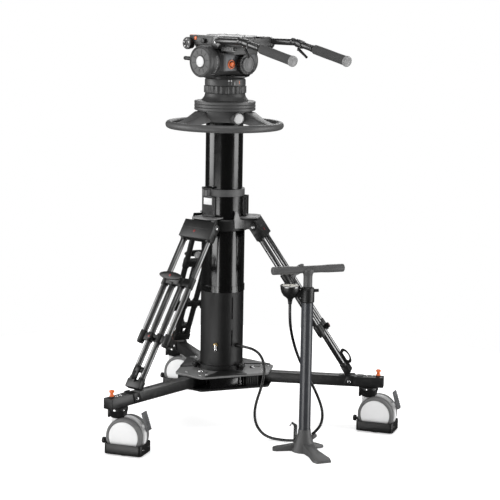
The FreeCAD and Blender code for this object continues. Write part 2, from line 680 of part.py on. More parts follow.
def make_wheels():
    """The two wheels of one caster: tyre, hub disc and bore."""
    wheels = []
    for side in (-1, 1):
        y0 = side * WHEEL_GAP / 2
        y1 = side * (WHEEL_GAP / 2 + WHEEL_WIDTH)
        wheel = rod((TRAIL, y0, WHEEL_R), (TRAIL, y1, WHEEL_R), WHEEL_R)
        rims = [e for e in wheel.Edges if isinstance(e.Curve, Part.Circle)]
        wheel = wheel.makeFillet(WHEEL_EDGE, rims)
        bore = rod((TRAIL, y0 - side, WHEEL_R), (TRAIL, y1 + side, WHEEL_R), AXLE_R + RUN_GAP)
        wheels.append(wheel.cut(bore))
    return wheels


def make_pedal():
    """Brake pedal behind the hood, hinged on its pin."""
    x, z = PEDAL_PIVOT_X, PEDAL_PIVOT_Z
    half = PEDAL_WIDTH / 2
    root_half = PEDAL_ROOT / 2
    plate = slab([(x - 4, z + 48), (x + 3, z + 52), (x + 22, z - 12), (x + 14, z - 15)],
                 -half, half)
    root = slab([(x, z - PEDAL_BOSS_R), (x + 14, z - PEDAL_BOSS_R), (x + 8, z + 14),
                 (x, z + PEDAL_BOSS_R)], -root_half, root_half)
    boss = rod((x, -root_half, z), (x, root_half, z), PEDAL_BOSS_R)
    pin = rod((x, -HOOD_WIDTH / 2, z), (x, HOOD_WIDTH / 2, z), PEDAL_PIN_R)
    return union(plate, root, boss, pin)


def make_dolly():
    for name, azimuth in ARM_AZIMUTHS.items():
        add("arm_" + name, *make_arm(azimuth))
        add("pull_knob_" + name, make_pull_knob(azimuth))
        add("caster_frame_" + name, caster_place(make_caster_frame(), azimuth))
        add("caster_wheels_" + name, *[caster_place(w, azimuth) for w in make_wheels()])
        add("brake_pedal_" + name, caster_place(make_pedal(), azimuth))


def make_barrel():
    """Base barrel with its foot flange and slots, and the outlet nozzle that the hose leaves."""
    barrel = union(ring(BARREL_R, BORE_R, HUB_HIGH, BARREL_TOP),
                   ring(BARREL_FLANGE_R, BORE_R, HUB_HIGH, HUB_HIGH + BARREL_FLANGE))
    for low, high in SLOTS:
        slot = box(BARREL_R - SLOT_DEPTH, BARREL_R + 5, -SLOT_WIDTH / 2, SLOT_WIDTH / 2,
                   HUB_HIGH + low, HUB_HIGH + high)
        barrel = barrel.cut(turn(slot, SLOT_AZIMUTH))
    mouth = AIR_HOSE[0]
    azimuth = math.degrees(math.atan2(mouth[1], mouth[0]))
    height = mouth[2]
    outlet_hole = rod(polar(BORE_R - 5, azimuth, height), polar(BARREL_R + 5, azimuth, height),
                      OUTLET_BORE_R)
    valve_hole = rod(polar(BORE_R - 5, VALVE_AZIMUTH, VALVE_HEIGHT),
                     polar(BARREL_R + 5, VALVE_AZIMUTH, VALVE_HEIGHT), VALVE_STEM_R + RUN_GAP)
    barrel = barrel.cut(outlet_hole).cut(valve_hole)
    spigot = rod(polar(BORE_R + 3, azimuth, height), polar(BARREL_R + 5, azimuth, height),
                 OUTLET_BORE_R)
    nozzle = rod(polar(BARREL_R - 2, azimuth, height), mouth, OUTLET_R)
    nozzle = nozzle.cut(cyl(BARREL_R, height - 20, height + 20))
    add("base_barrel", barrel, union(nozzle, spigot))


def make_column():
    """Barrel, lower tube with its joint ring, housing with pads, clamp collar and its lever."""
    make_barrel()
    lower = ring(BARREL_R, BORE_R, BARREL_TOP, HOUSING_BOTTOM)
    joint = ring(BARREL_R + JOINT_RING_STEP, BARREL_R, BARREL_TOP, BARREL_TOP + JOINT_RING)
    add("lower_tube", union(lower, joint))

    housing = ring(BARREL_R, BORE_R, HOUSING_BOTTOM, HOUSING_TOP)
    pad = rounded_box(BORE_R + 4, PAD_RADIUS, -PAD_WIDTH / 2, PAD_WIDTH / 2, CROWN_TOP + 2,
                      HOUSING_TOP - 1, 3)
    pads = [turn(pad, azimuth) for azimuth in ARM_AZIMUTHS.values()]
    housing = union(housing, *pads).cut(cyl(BORE_R, HOUSING_BOTTOM, HOUSING_TOP))
    add("mid_housing", housing)

    collar = ring(COLLAR_R, UPPER_R + RUN_GAP, HOUSING_TOP, COLLAR_TOP)
    ear_half = COLLAR_EAR_WIDTH / 2
    ear = rounded_box(COLLAR_R - 6, COLLAR_R + COLLAR_EAR_OUT, -ear_half, ear_half,
                      HOUSING_TOP + 2, COLLAR_TOP - 1, 5)
    ear = turn(ear, COLLAR_EAR_AZIMUTH).cut(cyl(UPPER_R + BORE_PLAY, HOUSING_TOP, COLLAR_TOP))
    split = box(UPPER_R - 2, COLLAR_R + COLLAR_EAR_OUT + 4, -COLLAR_SPLIT / 2, COLLAR_SPLIT / 2,
                HOUSING_TOP - 1, COLLAR_TOP + 1)
    x, y, _ = polar(COLLAR_R + COLLAR_POST_OUT, COLLAR_EAR_AZIMUTH + COLLAR_POST_TURN)
    post_hole = cyl(COLLAR_POST_R + RUN_GAP, COLLAR_TOP - COLLAR_POST_DEPTH - 1, COLLAR_TOP + 1, x, y)
    collar = union(collar, ear).cut(turn(split, COLLAR_EAR_AZIMUTH)).cut(post_hole)
    add("column_collar", collar)

    low = COLLAR_TOP + FACE_GAP
    post = cyl(COLLAR_POST_R, COLLAR_TOP - COLLAR_POST_DEPTH, low, x, y)
    hub = cyl(COLLAR_POST_R + 4, low, low + 8, x, y)
    blade = rounded_box(0, COLLAR_LEVER_LENGTH, -COLLAR_LEVER_WIDTH / 2, COLLAR_LEVER_WIDTH / 2,
                        low, low + 6, 5)
    blade = shift(turn(blade, COLLAR_EAR_AZIMUTH + COLLAR_LEVER_TURN), x, y)
    add("collar_lever", union(post, hub, blade))


def make_crown():
    """Ring round the lower tube with a lobe for each leg's pivot pin."""
    crown = cyl(BARREL_R + CROWN_STEP, CROWN_BOTTOM, CROWN_TOP - 8)
    nose = LEG_PIVOT_RADIUS + LOBE_NOSE
    inner = BARREL_R + 4
    lobe = slab([(inner, CROWN_BOTTOM + 4), (nose - 10, CROWN_BOTTOM + 8),
                 (nose, LEG_PIVOT_HEIGHT - 8), (nose - 3, LEG_PIVOT_HEIGHT + 14),
                 (LEG_PIVOT_RADIUS - 4, CROWN_TOP), (inner, CROWN_TOP)],
                -CROWN_LOBE_HALF, CROWN_LOBE_HALF)
    lobe = lobe.cut(rod((LEG_PIVOT_RADIUS, -CROWN_LOBE_HALF - 1, LEG_PIVOT_HEIGHT),
                        (LEG_PIVOT_RADIUS, CROWN_LOBE_HALF + 1, LEG_PIVOT_HEIGHT),
                        LEG_PIN_R + RUN_GAP))
    for azimuth in ARM_AZIMUTHS.values():
        crown = crown.fuse(turn(lobe, azimuth))
    bore = cyl(BARREL_R, CROWN_BOTTOM - 1, CROWN_TOP + 1)
    add("leg_crown", crown.cut(bore).removeSplitter())


def leg_place(shape, azimuth):
    """Put a shape made along -z from a leg's pivot where the leg stands."""
    leaned = turn(shape, -LEG_TILT, axis=(0, 1, 0))
    return turn(shift(leaned, LEG_PIVOT_RADIUS, 0, LEG_PIVOT_HEIGHT), azimuth)


def make_leg_frame():
    """Upper stage: pivot pin, cheeks, crown block, two outer tubes and the lower lock block."""
    edge = LEG_OUTER_HALF + LEG_TUBE_R + LEG_SKIN
    face = LEG_TUBE_R + LEG_SKIN
    pieces = [rod((0, -edge, 0), (0, edge, 0), LEG_PIN_R),
              box(-LEG_CHEEK, LEG_CHEEK, -edge, edge, -LEG_BLOCK_TO, -LEG_BLOCK_FROM),
              rounded_box(-face, face, -edge, edge, -LEG_LOCK_TO, -LEG_LOCK_FROM, 5)]
    knob_z = -LEG_LOCK_TO + LEG_LOCK_LENGTH / 2 - 6
    pieces.append(rod((LEG_TUBE_R, 0, knob_z), (LEG_TUBE_R + LEG_KNOB_DEPTH, 0, knob_z), LEG_KNOB_R))
    for side in (-1, 1):
        y0, y1 = sorted((side * (CROWN_LOBE_HALF + FACE_GAP), side * edge))
        pieces.append(rod((0, y0, 0), (0, y1, 0), LEG_CHEEK))
        pieces.append(box(-LEG_CHEEK, LEG_CHEEK, y0, y1, -LEG_BLOCK_TO, 0))
        y = side * LEG_OUTER_HALF
        pieces.append(rod((0, y, -LEG_BLOCK_TO + 5), (0, y, -LEG_LOCK_TO), LEG_TUBE_R))
    frame = union(*pieces)
    for side in (-1, 1):
        y = side * LEG_INNER_HALF
        frame = frame.cut(rod((0, y, -LEG_LOCK_FROM + 1), (0, y, -LEG_LOCK_TO - 1),
                              LEG_TUBE_R + RUN_GAP))
    return frame


def make_leg_stage():
    """Lower stage: cross block that rides on the outer tubes, two inner tubes and the foot."""
    top = LEG_CROSS_AT - LEG_CROSS_LENGTH / 2
    bottom = LEG_CROSS_AT + LEG_CROSS_LENGTH / 2
    edge = LEG_OUTER_HALF + LEG_TUBE_R + LEG_SKIN
    face = LEG_TUBE_R + LEG_SKIN
    cross = rounded_box(-face, face, -edge, edge, -bottom, -top, 4)
    drum = rod((LEG_TUBE_R, 0, -LEG_CROSS_AT), (LEG_LEVER_RISE, 0, -LEG_CROSS_AT), LEG_DRUM_R)
    tubes = [rod((0, side * LEG_INNER_HALF, -bottom + 8), (0, side * LEG_INNER_HALF, -LEG_LENGTH),
                 LEG_TUBE_R) for side in (-1, 1)]
    half = LEG_INNER_HALF + LEG_TUBE_R + 2
    foot = rounded_box(-LEG_TUBE_R - 2, LEG_TUBE_R + 2, -half, half, -LEG_LENGTH + 2,
                       -LEG_LENGTH + LEG_FOOT_LENGTH, 4)
    end = -LEG_LENGTH
    hook = slab([(12, end + 35), (30, end + 39), (36, end + 63), (28, end + 89), (14, end + 87),
                 (8, end + 65)], -LEG_HOOK_WIDTH / 2, LEG_HOOK_WIDTH / 2)
    bridge = box(-LEG_TUBE_R + 2, 16, -LEG_INNER_HALF, LEG_INNER_HALF, end + 66, end + 86)
    stage = union(cross, drum, foot, hook, bridge, *tubes)
    for side in (-1, 1):
        y = side * LEG_OUTER_HALF
        stage = stage.cut(rod((0, y, -top + 1), (0, y, -bottom - 1), LEG_TUBE_R + RUN_GAP))
    lever_hole = rod((LEG_LEVER_RISE - LEG_LEVER_PIN_DEPTH - 1, 0, -LEG_CROSS_AT),
                     (LEG_LEVER_RISE + 1, 0, -LEG_CROSS_AT), LEG_LEVER_PIN_R + RUN_GAP)
    below = turn(box(-80, 80, -80, 80, -80, 0), LEG_TILT, axis=(0, 1, 0))
    return stage.cut(lever_hole).cut(shift(below, z=-LEG_LENGTH))


def make_leg_lever():
    """Oval clamp handle on the cross block."""
    face = LEG_LEVER_RISE + FACE_GAP
    pin = rod((LEG_LEVER_RISE - LEG_LEVER_PIN_DEPTH, 0, -LEG_CROSS_AT), (face, 0, -LEG_CROSS_AT),
              LEG_LEVER_PIN_R)
    oval = Part.Ellipse(V(0, 0, 0), LEG_LEVER_HALF_LENGTH, LEG_LEVER_HALF_WIDTH).toShape()
    blade = Part.Face(Part.Wire([oval])).extrude(V(0, 0, LEG_LEVER_THICK))
    blade = turn(blade, 120, axis=(1, 1, 1))
    return union(pin, shift(blade, face, 0, -LEG_CROSS_AT))


def make_legs():
    for name, azimuth in ARM_AZIMUTHS.items():
        add("leg_frame_" + name, leg_place(make_leg_frame(), azimuth))
        add("leg_stage_" + name, leg_place(make_leg_stage(), azimuth))
        add("leg_lever_" + name, leg_place(make_leg_lever(), azimuth))


def make_lift():
    """Upper tube and its piston, the disc that carries the head, and the steering ring."""
    add("upper_tube", ring(UPPER_R, UPPER_R - UPPER_WALL, UPPER_BOTTOM, DISC_BOTTOM))
    seal = BORE_R - RUN_GAP
    land = BORE_R - PISTON_GROOVE
    piston = turned([(0, UPPER_BOTTOM), (seal, UPPER_BOTTOM), (seal, UPPER_BOTTOM - 8),
                     (land, UPPER_BOTTOM - 10), (land, UPPER_BOTTOM - 14),
                     (seal, UPPER_BOTTOM - 16), (seal, UPPER_BOTTOM - PISTON_LENGTH),
                     (0, UPPER_BOTTOM - PISTON_LENGTH)])
    add("column_piston", piston)

    outline = [(0, DISC_BOTTOM), (DISC_R, DISC_BOTTOM)]
    for index in (1, 2):
        level = DISC_BOTTOM + index * DISC_HEIGHT / 3
        outline += [(DISC_R, level - DISC_GROOVE), (DISC_R - DISC_GROOVE, level),
                    (DISC_R, level + DISC_GROOVE)]
    outline += [(DISC_R, DISC_TOP - DISC_GROOVE), (DISC_R - DISC_GROOVE, DISC_TOP), (0, DISC_TOP)]
    add("turntable", turned(outline))
    make_steering_ring()


def make_steering_ring():
    """Skirt under the turntable, three wide spokes, the round boss and the hoop."""
    hoop = Part.makeTorus(RING_CENTRE_R, RING_TUBE_R, V(0, 0, RING_HEIGHT))
    skirt = turned([(UPPER_R, SKIRT_BOTTOM), (SKIRT_ROOT_R, SKIRT_BOTTOM),
                    (SKIRT_R, SKIRT_BOTTOM + SKIRT_SLOPE), (SKIRT_R, DISC_BOTTOM),
                    (UPPER_R, DISC_BOTTOM)])
    spoke = slab([(SKIRT_ROOT_R - 4, SKIRT_BOTTOM), (RING_CENTRE_R - 20, RING_HEIGHT - 6),
                  (RING_CENTRE_R, RING_HEIGHT - 6), (RING_CENTRE_R, RING_HEIGHT + 8),
                  (SKIRT_R + 6, DISC_BOTTOM), (SKIRT_ROOT_R - 4, DISC_BOTTOM)],
                 -SPOKE_WIDTH / 2, SPOKE_WIDTH / 2)
    spokes = [turn(spoke, azimuth) for azimuth in SPOKE_AZIMUTHS]
    boss_z = DISC_BOTTOM - BOSS_R - 1
    boss = rod(polar(SKIRT_ROOT_R, BOSS_AZIMUTH, boss_z),
               polar(SKIRT_R + BOSS_OUT, BOSS_AZIMUTH, boss_z - 2), BOSS_R)
    wheel = union(skirt, boss, *spokes).cut(cyl(UPPER_R, RING_HEIGHT - 20, DISC_BOTTOM))
    add("steering_ring", union(wheel, hoop))


def make_valve():
    """Release valve on the barrel."""
    stem = rod(polar(BORE_R + 3, VALVE_AZIMUTH, VALVE_HEIGHT),
               polar(BARREL_R + 10, VALVE_AZIMUTH, VALVE_HEIGHT), VALVE_STEM_R)
    wheel = rod(polar(BARREL_R + FACE_GAP + 4, VALVE_AZIMUTH, VALVE_HEIGHT),
                polar(BARREL_R + 16, VALVE_AZIMUTH, VALVE_HEIGHT), VALVE_R)
    add("release_valve", union(stem, wheel))


def head(shape):
    """Put a shape made in the head's own frame on the column."""
    return turn(shape, HEAD_YAW)


def across(radius, y0, y1, x=TILT_X, z=TILT_Z):
    """Cylinder along the head's y axis, on the tilt axis unless told otherwise."""
    return rod((x, y0, z), (x, y1, z), radius)


def inward(radius, x0, x1, y, z=HEAD_KNOB_Z):
    """Cylinder along the head's x axis, at the height of the operator's knob."""
    return rod((x0, y, z), (x1, y, z), radius)


def make_pan_stage():
    """Fixed pan base with its stem, the fluted drag ring, and the panning body with its yoke."""
    stem_top = PAN_RING_TOP - PAN_LID
    base = turned([(0, DISC_TOP), (HEAD_BASE_R, DISC_TOP), (HEAD_BASE_R, DISC_TOP + 4),
                   (HEAD_NECK_R + 1, DISC_TOP + 17), (HEAD_NECK_R, HEAD_BASE_TOP),
                   (PAN_STEM_R, HEAD_BASE_TOP), (PAN_STEM_R, stem_top), (0, stem_top)])
    add("head_base", base)

    drag = ring(DRAG_RING_R, PAN_STEM_R + RUN_GAP, HEAD_BASE_TOP + FACE_GAP, DRAG_RING_TOP)
    for index in range(DRAG_FLUTES):
        x, y, _ = polar(DRAG_RING_R + DRAG_FLUTE_R / 2, index * 360 / DRAG_FLUTES)
        drag = drag.cut(cyl(DRAG_FLUTE_R, HEAD_BASE_TOP + 2, DRAG_RING_TOP - 1, x, y))
    add("pan_drag_ring", drag)

    cup = ring(PAN_RING_R, PAN_STEM_R + RUN_GAP, DRAG_RING_TOP + FACE_GAP, PAN_RING_TOP)
    lid = cyl(PAN_STEM_R + 2, stem_top + FACE_GAP, PAN_RING_TOP)
    shoe = box(-YOKE_HALF, YOKE_HALF, LEFT_OUTER, RIGHT_OUTER, PAN_RING_TOP - 2,
               PAN_RING_TOP + YOKE_SHOE)
    pieces = [cup, lid, shoe]
    for y0, y1 in ((LEFT_OUTER, LEFT_INNER), (RIGHT_INNER, RIGHT_OUTER)):
        pieces.append(box(-YOKE_HALF, YOKE_HALF, y0, y1, PAN_RING_TOP - 2, TILT_Z))
        pieces.append(across(YOKE_R, y0, y1))
    body = union(*pieces).cut(across(TILT_PIN_R + RUN_GAP, LEFT_OUTER - 1, RIGHT_OUTER + 1))
    rim_x = TILT_X - YOKE_R
    lever_hole = inward(BRAKE_PIN_R + RUN_GAP, rim_x + BRAKE_PIN_DEPTH + 1, rim_x - 12, BRAKE_Y,
                        BRAKE_Z)
    add("pan_body", head(body.cut(lever_hole)))


def make_tilt_controls():
    """Tilt drag dial on the end of the trunnion, and the brake lever on the yoke."""
    dial = across(DIAL_R, LEFT_OUTER - DIAL_WIDTH, LEFT_OUTER - FACE_GAP)
    rims = [e for e in dial.Edges if isinstance(e.Curve, Part.Circle)]
    dial = dial.makeFillet(DIAL_EDGE, [e for e in rims if e.CenterOfMass.y < LEFT_OUTER - 5])
    add("tilt_drag_dial", head(dial))

    rim_x = TILT_X - YOKE_R
    hub_x = rim_x - 3
    pin = inward(BRAKE_PIN_R, rim_x + BRAKE_PIN_DEPTH, hub_x, BRAKE_Y, BRAKE_Z)
    hub = inward(BRAKE_HUB_R, hub_x, hub_x - BRAKE_HUB, BRAKE_Y, BRAKE_Z)
    blade = rod((hub_x - 5, BRAKE_Y, BRAKE_Z),
                (hub_x - BRAKE_LEVER_LENGTH, BRAKE_Y - 10, BRAKE_Z + 2), BRAKE_LEVER_R)
    add("tilt_brake_lever", head(union(pin, hub, blade)))


def make_tilt_body():
    """Drum on its trunnion pins, the operator's panel, the knob and the light button on it."""
    drum = across(TILT_DRUM_R, LEFT_INNER + FACE_GAP, RIGHT_INNER - FACE_GAP)
    panel = rounded_box(PANEL_ROOT_X, PANEL_X, PANEL_LEFT, PANEL_RIGHT, TILT_Z - PANEL_DOWN,
                        TILT_Z + PANEL_UP, 4)
    neck_half = PLATFORM_HALF - NECK_INSET
    neck = box(TILT_X - 40, TILT_X + 44, -neck_half, neck_half, TILT_Z, PLATFORM_BOTTOM)
    trunnions = across(TILT_PIN_R, LEFT_OUTER, RIGHT_OUTER)
    bezel = inward(BUTTON_RING_R, PANEL_X - 1, PANEL_X + BUTTON_RING, BUTTON_Y)
    body = union(drum, panel, neck, trunnions, bezel)
    knob_hole = inward(CB_SHAFT_R + RUN_GAP, PANEL_X - CB_SHAFT_DEPTH - 1, PANEL_X + 1, CB_KNOB_Y)
    button_hole = inward(BUTTON_R + BUTTON_GAP, PANEL_X - BUTTON_POCKET, PANEL_X + BUTTON_RING + 1,
                         BUTTON_Y)
    add("tilt_body", head(body.cut(knob_hole).cut(button_hole)))

    knob_face = PANEL_X + CB_KNOB_DEPTH
    knob = inward(CB_KNOB_R, PANEL_X + FACE_GAP, knob_face, CB_KNOB_Y)
    for index in range(CB_FLUTES):
        angle = index * 2 * math.pi / CB_FLUTES
        flute_y = CB_KNOB_Y + (CB_KNOB_R + CB_FLUTE_R / 2) * math.cos(angle)
        flute_z = HEAD_KNOB_Z + (CB_KNOB_R + CB_FLUTE_R / 2) * math.sin(angle)
        knob = knob.cut(inward(CB_FLUTE_R, PANEL_X + 5, knob_face + 1, flute_y, flute_z))
    shaft = inward(CB_SHAFT_R, PANEL_X - CB_SHAFT_DEPTH, PANEL_X + 1, CB_KNOB_Y)
    add("counterbalance_knob", head(union(knob, shaft)))

    button = inward(BUTTON_R, PANEL_X - BUTTON_DEPTH, PANEL_X + BUTTON_OUT, BUTTON_Y)
    add("light_button", head(button))


def make_platform():
    """Platform, sliding camera plate with its screws, and the plate's lock knob."""
    base = rounded_box(PLATFORM_FRONT, PLATFORM_REAR, -PLATFORM_HALF, PLATFORM_HALF,
                       PLATFORM_BOTTOM, PLATFORM_TOP, PLATFORM_CORNER)
    seat_half = PLATE_HALF + FACE_GAP
    seat = box(PLATFORM_FRONT - 1, PLATFORM_REAR + 1, -seat_half, seat_half, PLATE_SEAT,
               PLATFORM_TOP + 1)
    groove_half = seat_half + PLATE_TONGUE
    groove = box(PLATFORM_FRONT - 1, PLATFORM_REAR + 1, -groove_half, groove_half, PLATE_SEAT,
                 PLATE_SEAT + PLATE_TONGUE_HEIGHT)
    base = base.cut(seat).cut(groove)
    spare_x = PLATFORM_FRONT + SPARE_ROSETTE_BACK
    spare = across(ROSETTE_R, -PLATFORM_HALF - SPARE_ROSETTE_OUT, -PLATFORM_HALF + 6, spare_x,
                   PLATFORM_BOTTOM + SPARE_ROSETTE_UP)
    base = union(base, spare)
    for side, name in ((-1, "left"), (1, "right")):
        x = BAR_PIVOTS[name]
        face = side * (BAR_HALF - BAR_OUTER_R - FACE_GAP)
        base = base.fuse(across(ROSETTE_R, side * PLATFORM_HALF, face, x, BAR_PIVOT_Z))
        base = base.cut(across(BAR_PIN_R + RUN_GAP, side * (PLATFORM_HALF - BAR_PIN_DEPTH - 1),
                               side * (BAR_HALF + 20), x, BAR_PIVOT_Z))
    knob_hole = across(LOCK_SHAFT_R + RUN_GAP, -PLATFORM_HALF + LOCK_SHAFT_DEPTH + 1,
                       -PLATFORM_HALF - 1, LOCK_KNOB_X, LOCK_KNOB_Z)
    add("platform", head(base.cut(knob_hole).removeSplitter()))

    sole = PLATE_SEAT + PLATE_GAP
    tongue = box(PLATE_FRONT, PLATE_REAR, -PLATE_HALF - PLATE_TONGUE, PLATE_HALF + PLATE_TONGUE,
                 sole, PLATE_SEAT + PLATE_TONGUE_HEIGHT - FACE_GAP)
    plate = rounded_box(PLATE_FRONT, PLATE_REAR, -PLATE_HALF, PLATE_HALF, sole, PLATE_TOP, 3)
    plate = union(plate, tongue)
    middle = (PLATE_FRONT + PLATE_REAR) / 2
    for side in (-1, 1):
        x = middle + side * CAMERA_SCREW_SPACING / 2
        plate = plate.cut(cyl(CAMERA_SCREW_R, PLATE_SEAT, PLATE_TOP + 1, x, 0))
    add("camera_plate", head(plate))

    knob = across(LOCK_KNOB_R, -PLATFORM_HALF - FACE_GAP, -PLATFORM_HALF - LOCK_KNOB_DEPTH,
                  LOCK_KNOB_X, LOCK_KNOB_Z)
    shaft = across(LOCK_SHAFT_R, -PLATFORM_HALF + LOCK_SHAFT_DEPTH, -PLATFORM_HALF - 1,
                   LOCK_KNOB_X, LOCK_KNOB_Z)
    add("plate_lock_knob", head(union(knob, shaft)))


def bar_point(name, side, distance, below=0.0):
    """Point on a pan bar's outer axis, measured from the bend, and so far square below it."""
    drop = math.radians(BAR_DROP)
    x = BAR_PIVOTS[name] + BAR_INNER_LENGTH
    return (x + distance * math.cos(drop) - below * math.sin(drop), side * BAR_HALF,
            BAR_Z - distance * math.sin(drop) - below * math.cos(drop))


def make_pan_bar(name, side):
    """Inner arm on its rosette, the bend, and the clamp sleeve; the grip slides in the sleeve."""
    def at(distance, below=0.0):
        return bar_point(name, side, distance, below)

    x0 = BAR_PIVOTS[name]
    y = side * BAR_HALF
    rosette = across(ROSETTE_R, side * (BAR_HALF - BAR_OUTER_R), side * (BAR_HALF + ROSETTE_OUT),
                     x0, BAR_PIVOT_Z)
    pin = across(BAR_PIN_R, side * (PLATFORM_HALF - BAR_PIN_DEPTH), y, x0, BAR_PIVOT_Z)
    inner = rod((x0, y, BAR_Z), at(0), BAR_OUTER_R)
    elbow = Part.makeSphere(BAR_OUTER_R, V(*at(0)))
    sleeve = rod(at(0), at(BAR_SLEEVE_LENGTH), BAR_OUTER_R)
    collar = rod(at(BAR_LEVER_AT - BAR_COLLAR_HALF), at(BAR_LEVER_AT + BAR_COLLAR_HALF),
                 BAR_COLLAR_R)
    bore = rod(at(12), at(BAR_SLEEVE_LENGTH + 1), BAR_INNER_R + RUN_GAP)
    seat = BAR_INNER_R + 1.5
    post_hole = rod(at(BAR_LEVER_AT, seat), at(BAR_LEVER_AT, BAR_COLLAR_R + 1),
                    BAR_LEVER_POST_R + RUN_GAP)
    bar = union(rosette, pin, inner, elbow, sleeve, collar).cut(bore).cut(post_hole)
    add("pan_bar_" + name, head(bar))

    tube = rod(at(14), at(GRIP_FROM + 10), BAR_INNER_R)
    grip = rod(at(GRIP_FROM), at(GRIP_FROM + GRIP_LENGTH - GRIP_CAP + 4), GRIP_R)
    cap = rod(at(GRIP_FROM + GRIP_LENGTH - GRIP_CAP), at(GRIP_FROM + GRIP_LENGTH),
              GRIP_R + GRIP_CAP_STEP)
    add("bar_grip_" + name, head(union(tube, grip, cap)))

    post = rod(at(BAR_LEVER_AT, seat + 0.5), at(BAR_LEVER_AT, BAR_COLLAR_R + 8), BAR_LEVER_POST_R)
    hub = rod(at(BAR_LEVER_AT, BAR_COLLAR_R + FACE_GAP), at(BAR_LEVER_AT, BAR_COLLAR_R + 10),
              BAR_LEVER_HUB_R)
    root = at(BAR_LEVER_AT, BAR_COLLAR_R + 6)
    tip = (root[0] + BAR_LEVER_REACH, y + side * 12, root[2] - BAR_LEVER_REACH)
    blade = rod(root, tip, BAR_LEVER_R)
    knob = Part.makeSphere(BAR_LEVER_TIP_R, V(*tip))
    add("bar_lever_" + name, head(union(post, hub, blade, knob)))


def port(points):
    """Hose socket in the pump's base: on the line of the hose's last run, past its end."""
    end = V(*points[-1])
    into = (end - V(*points[-2])).normalize()
    return Part.makeCylinder(PORT_R, PORT_LENGTH, end, into)


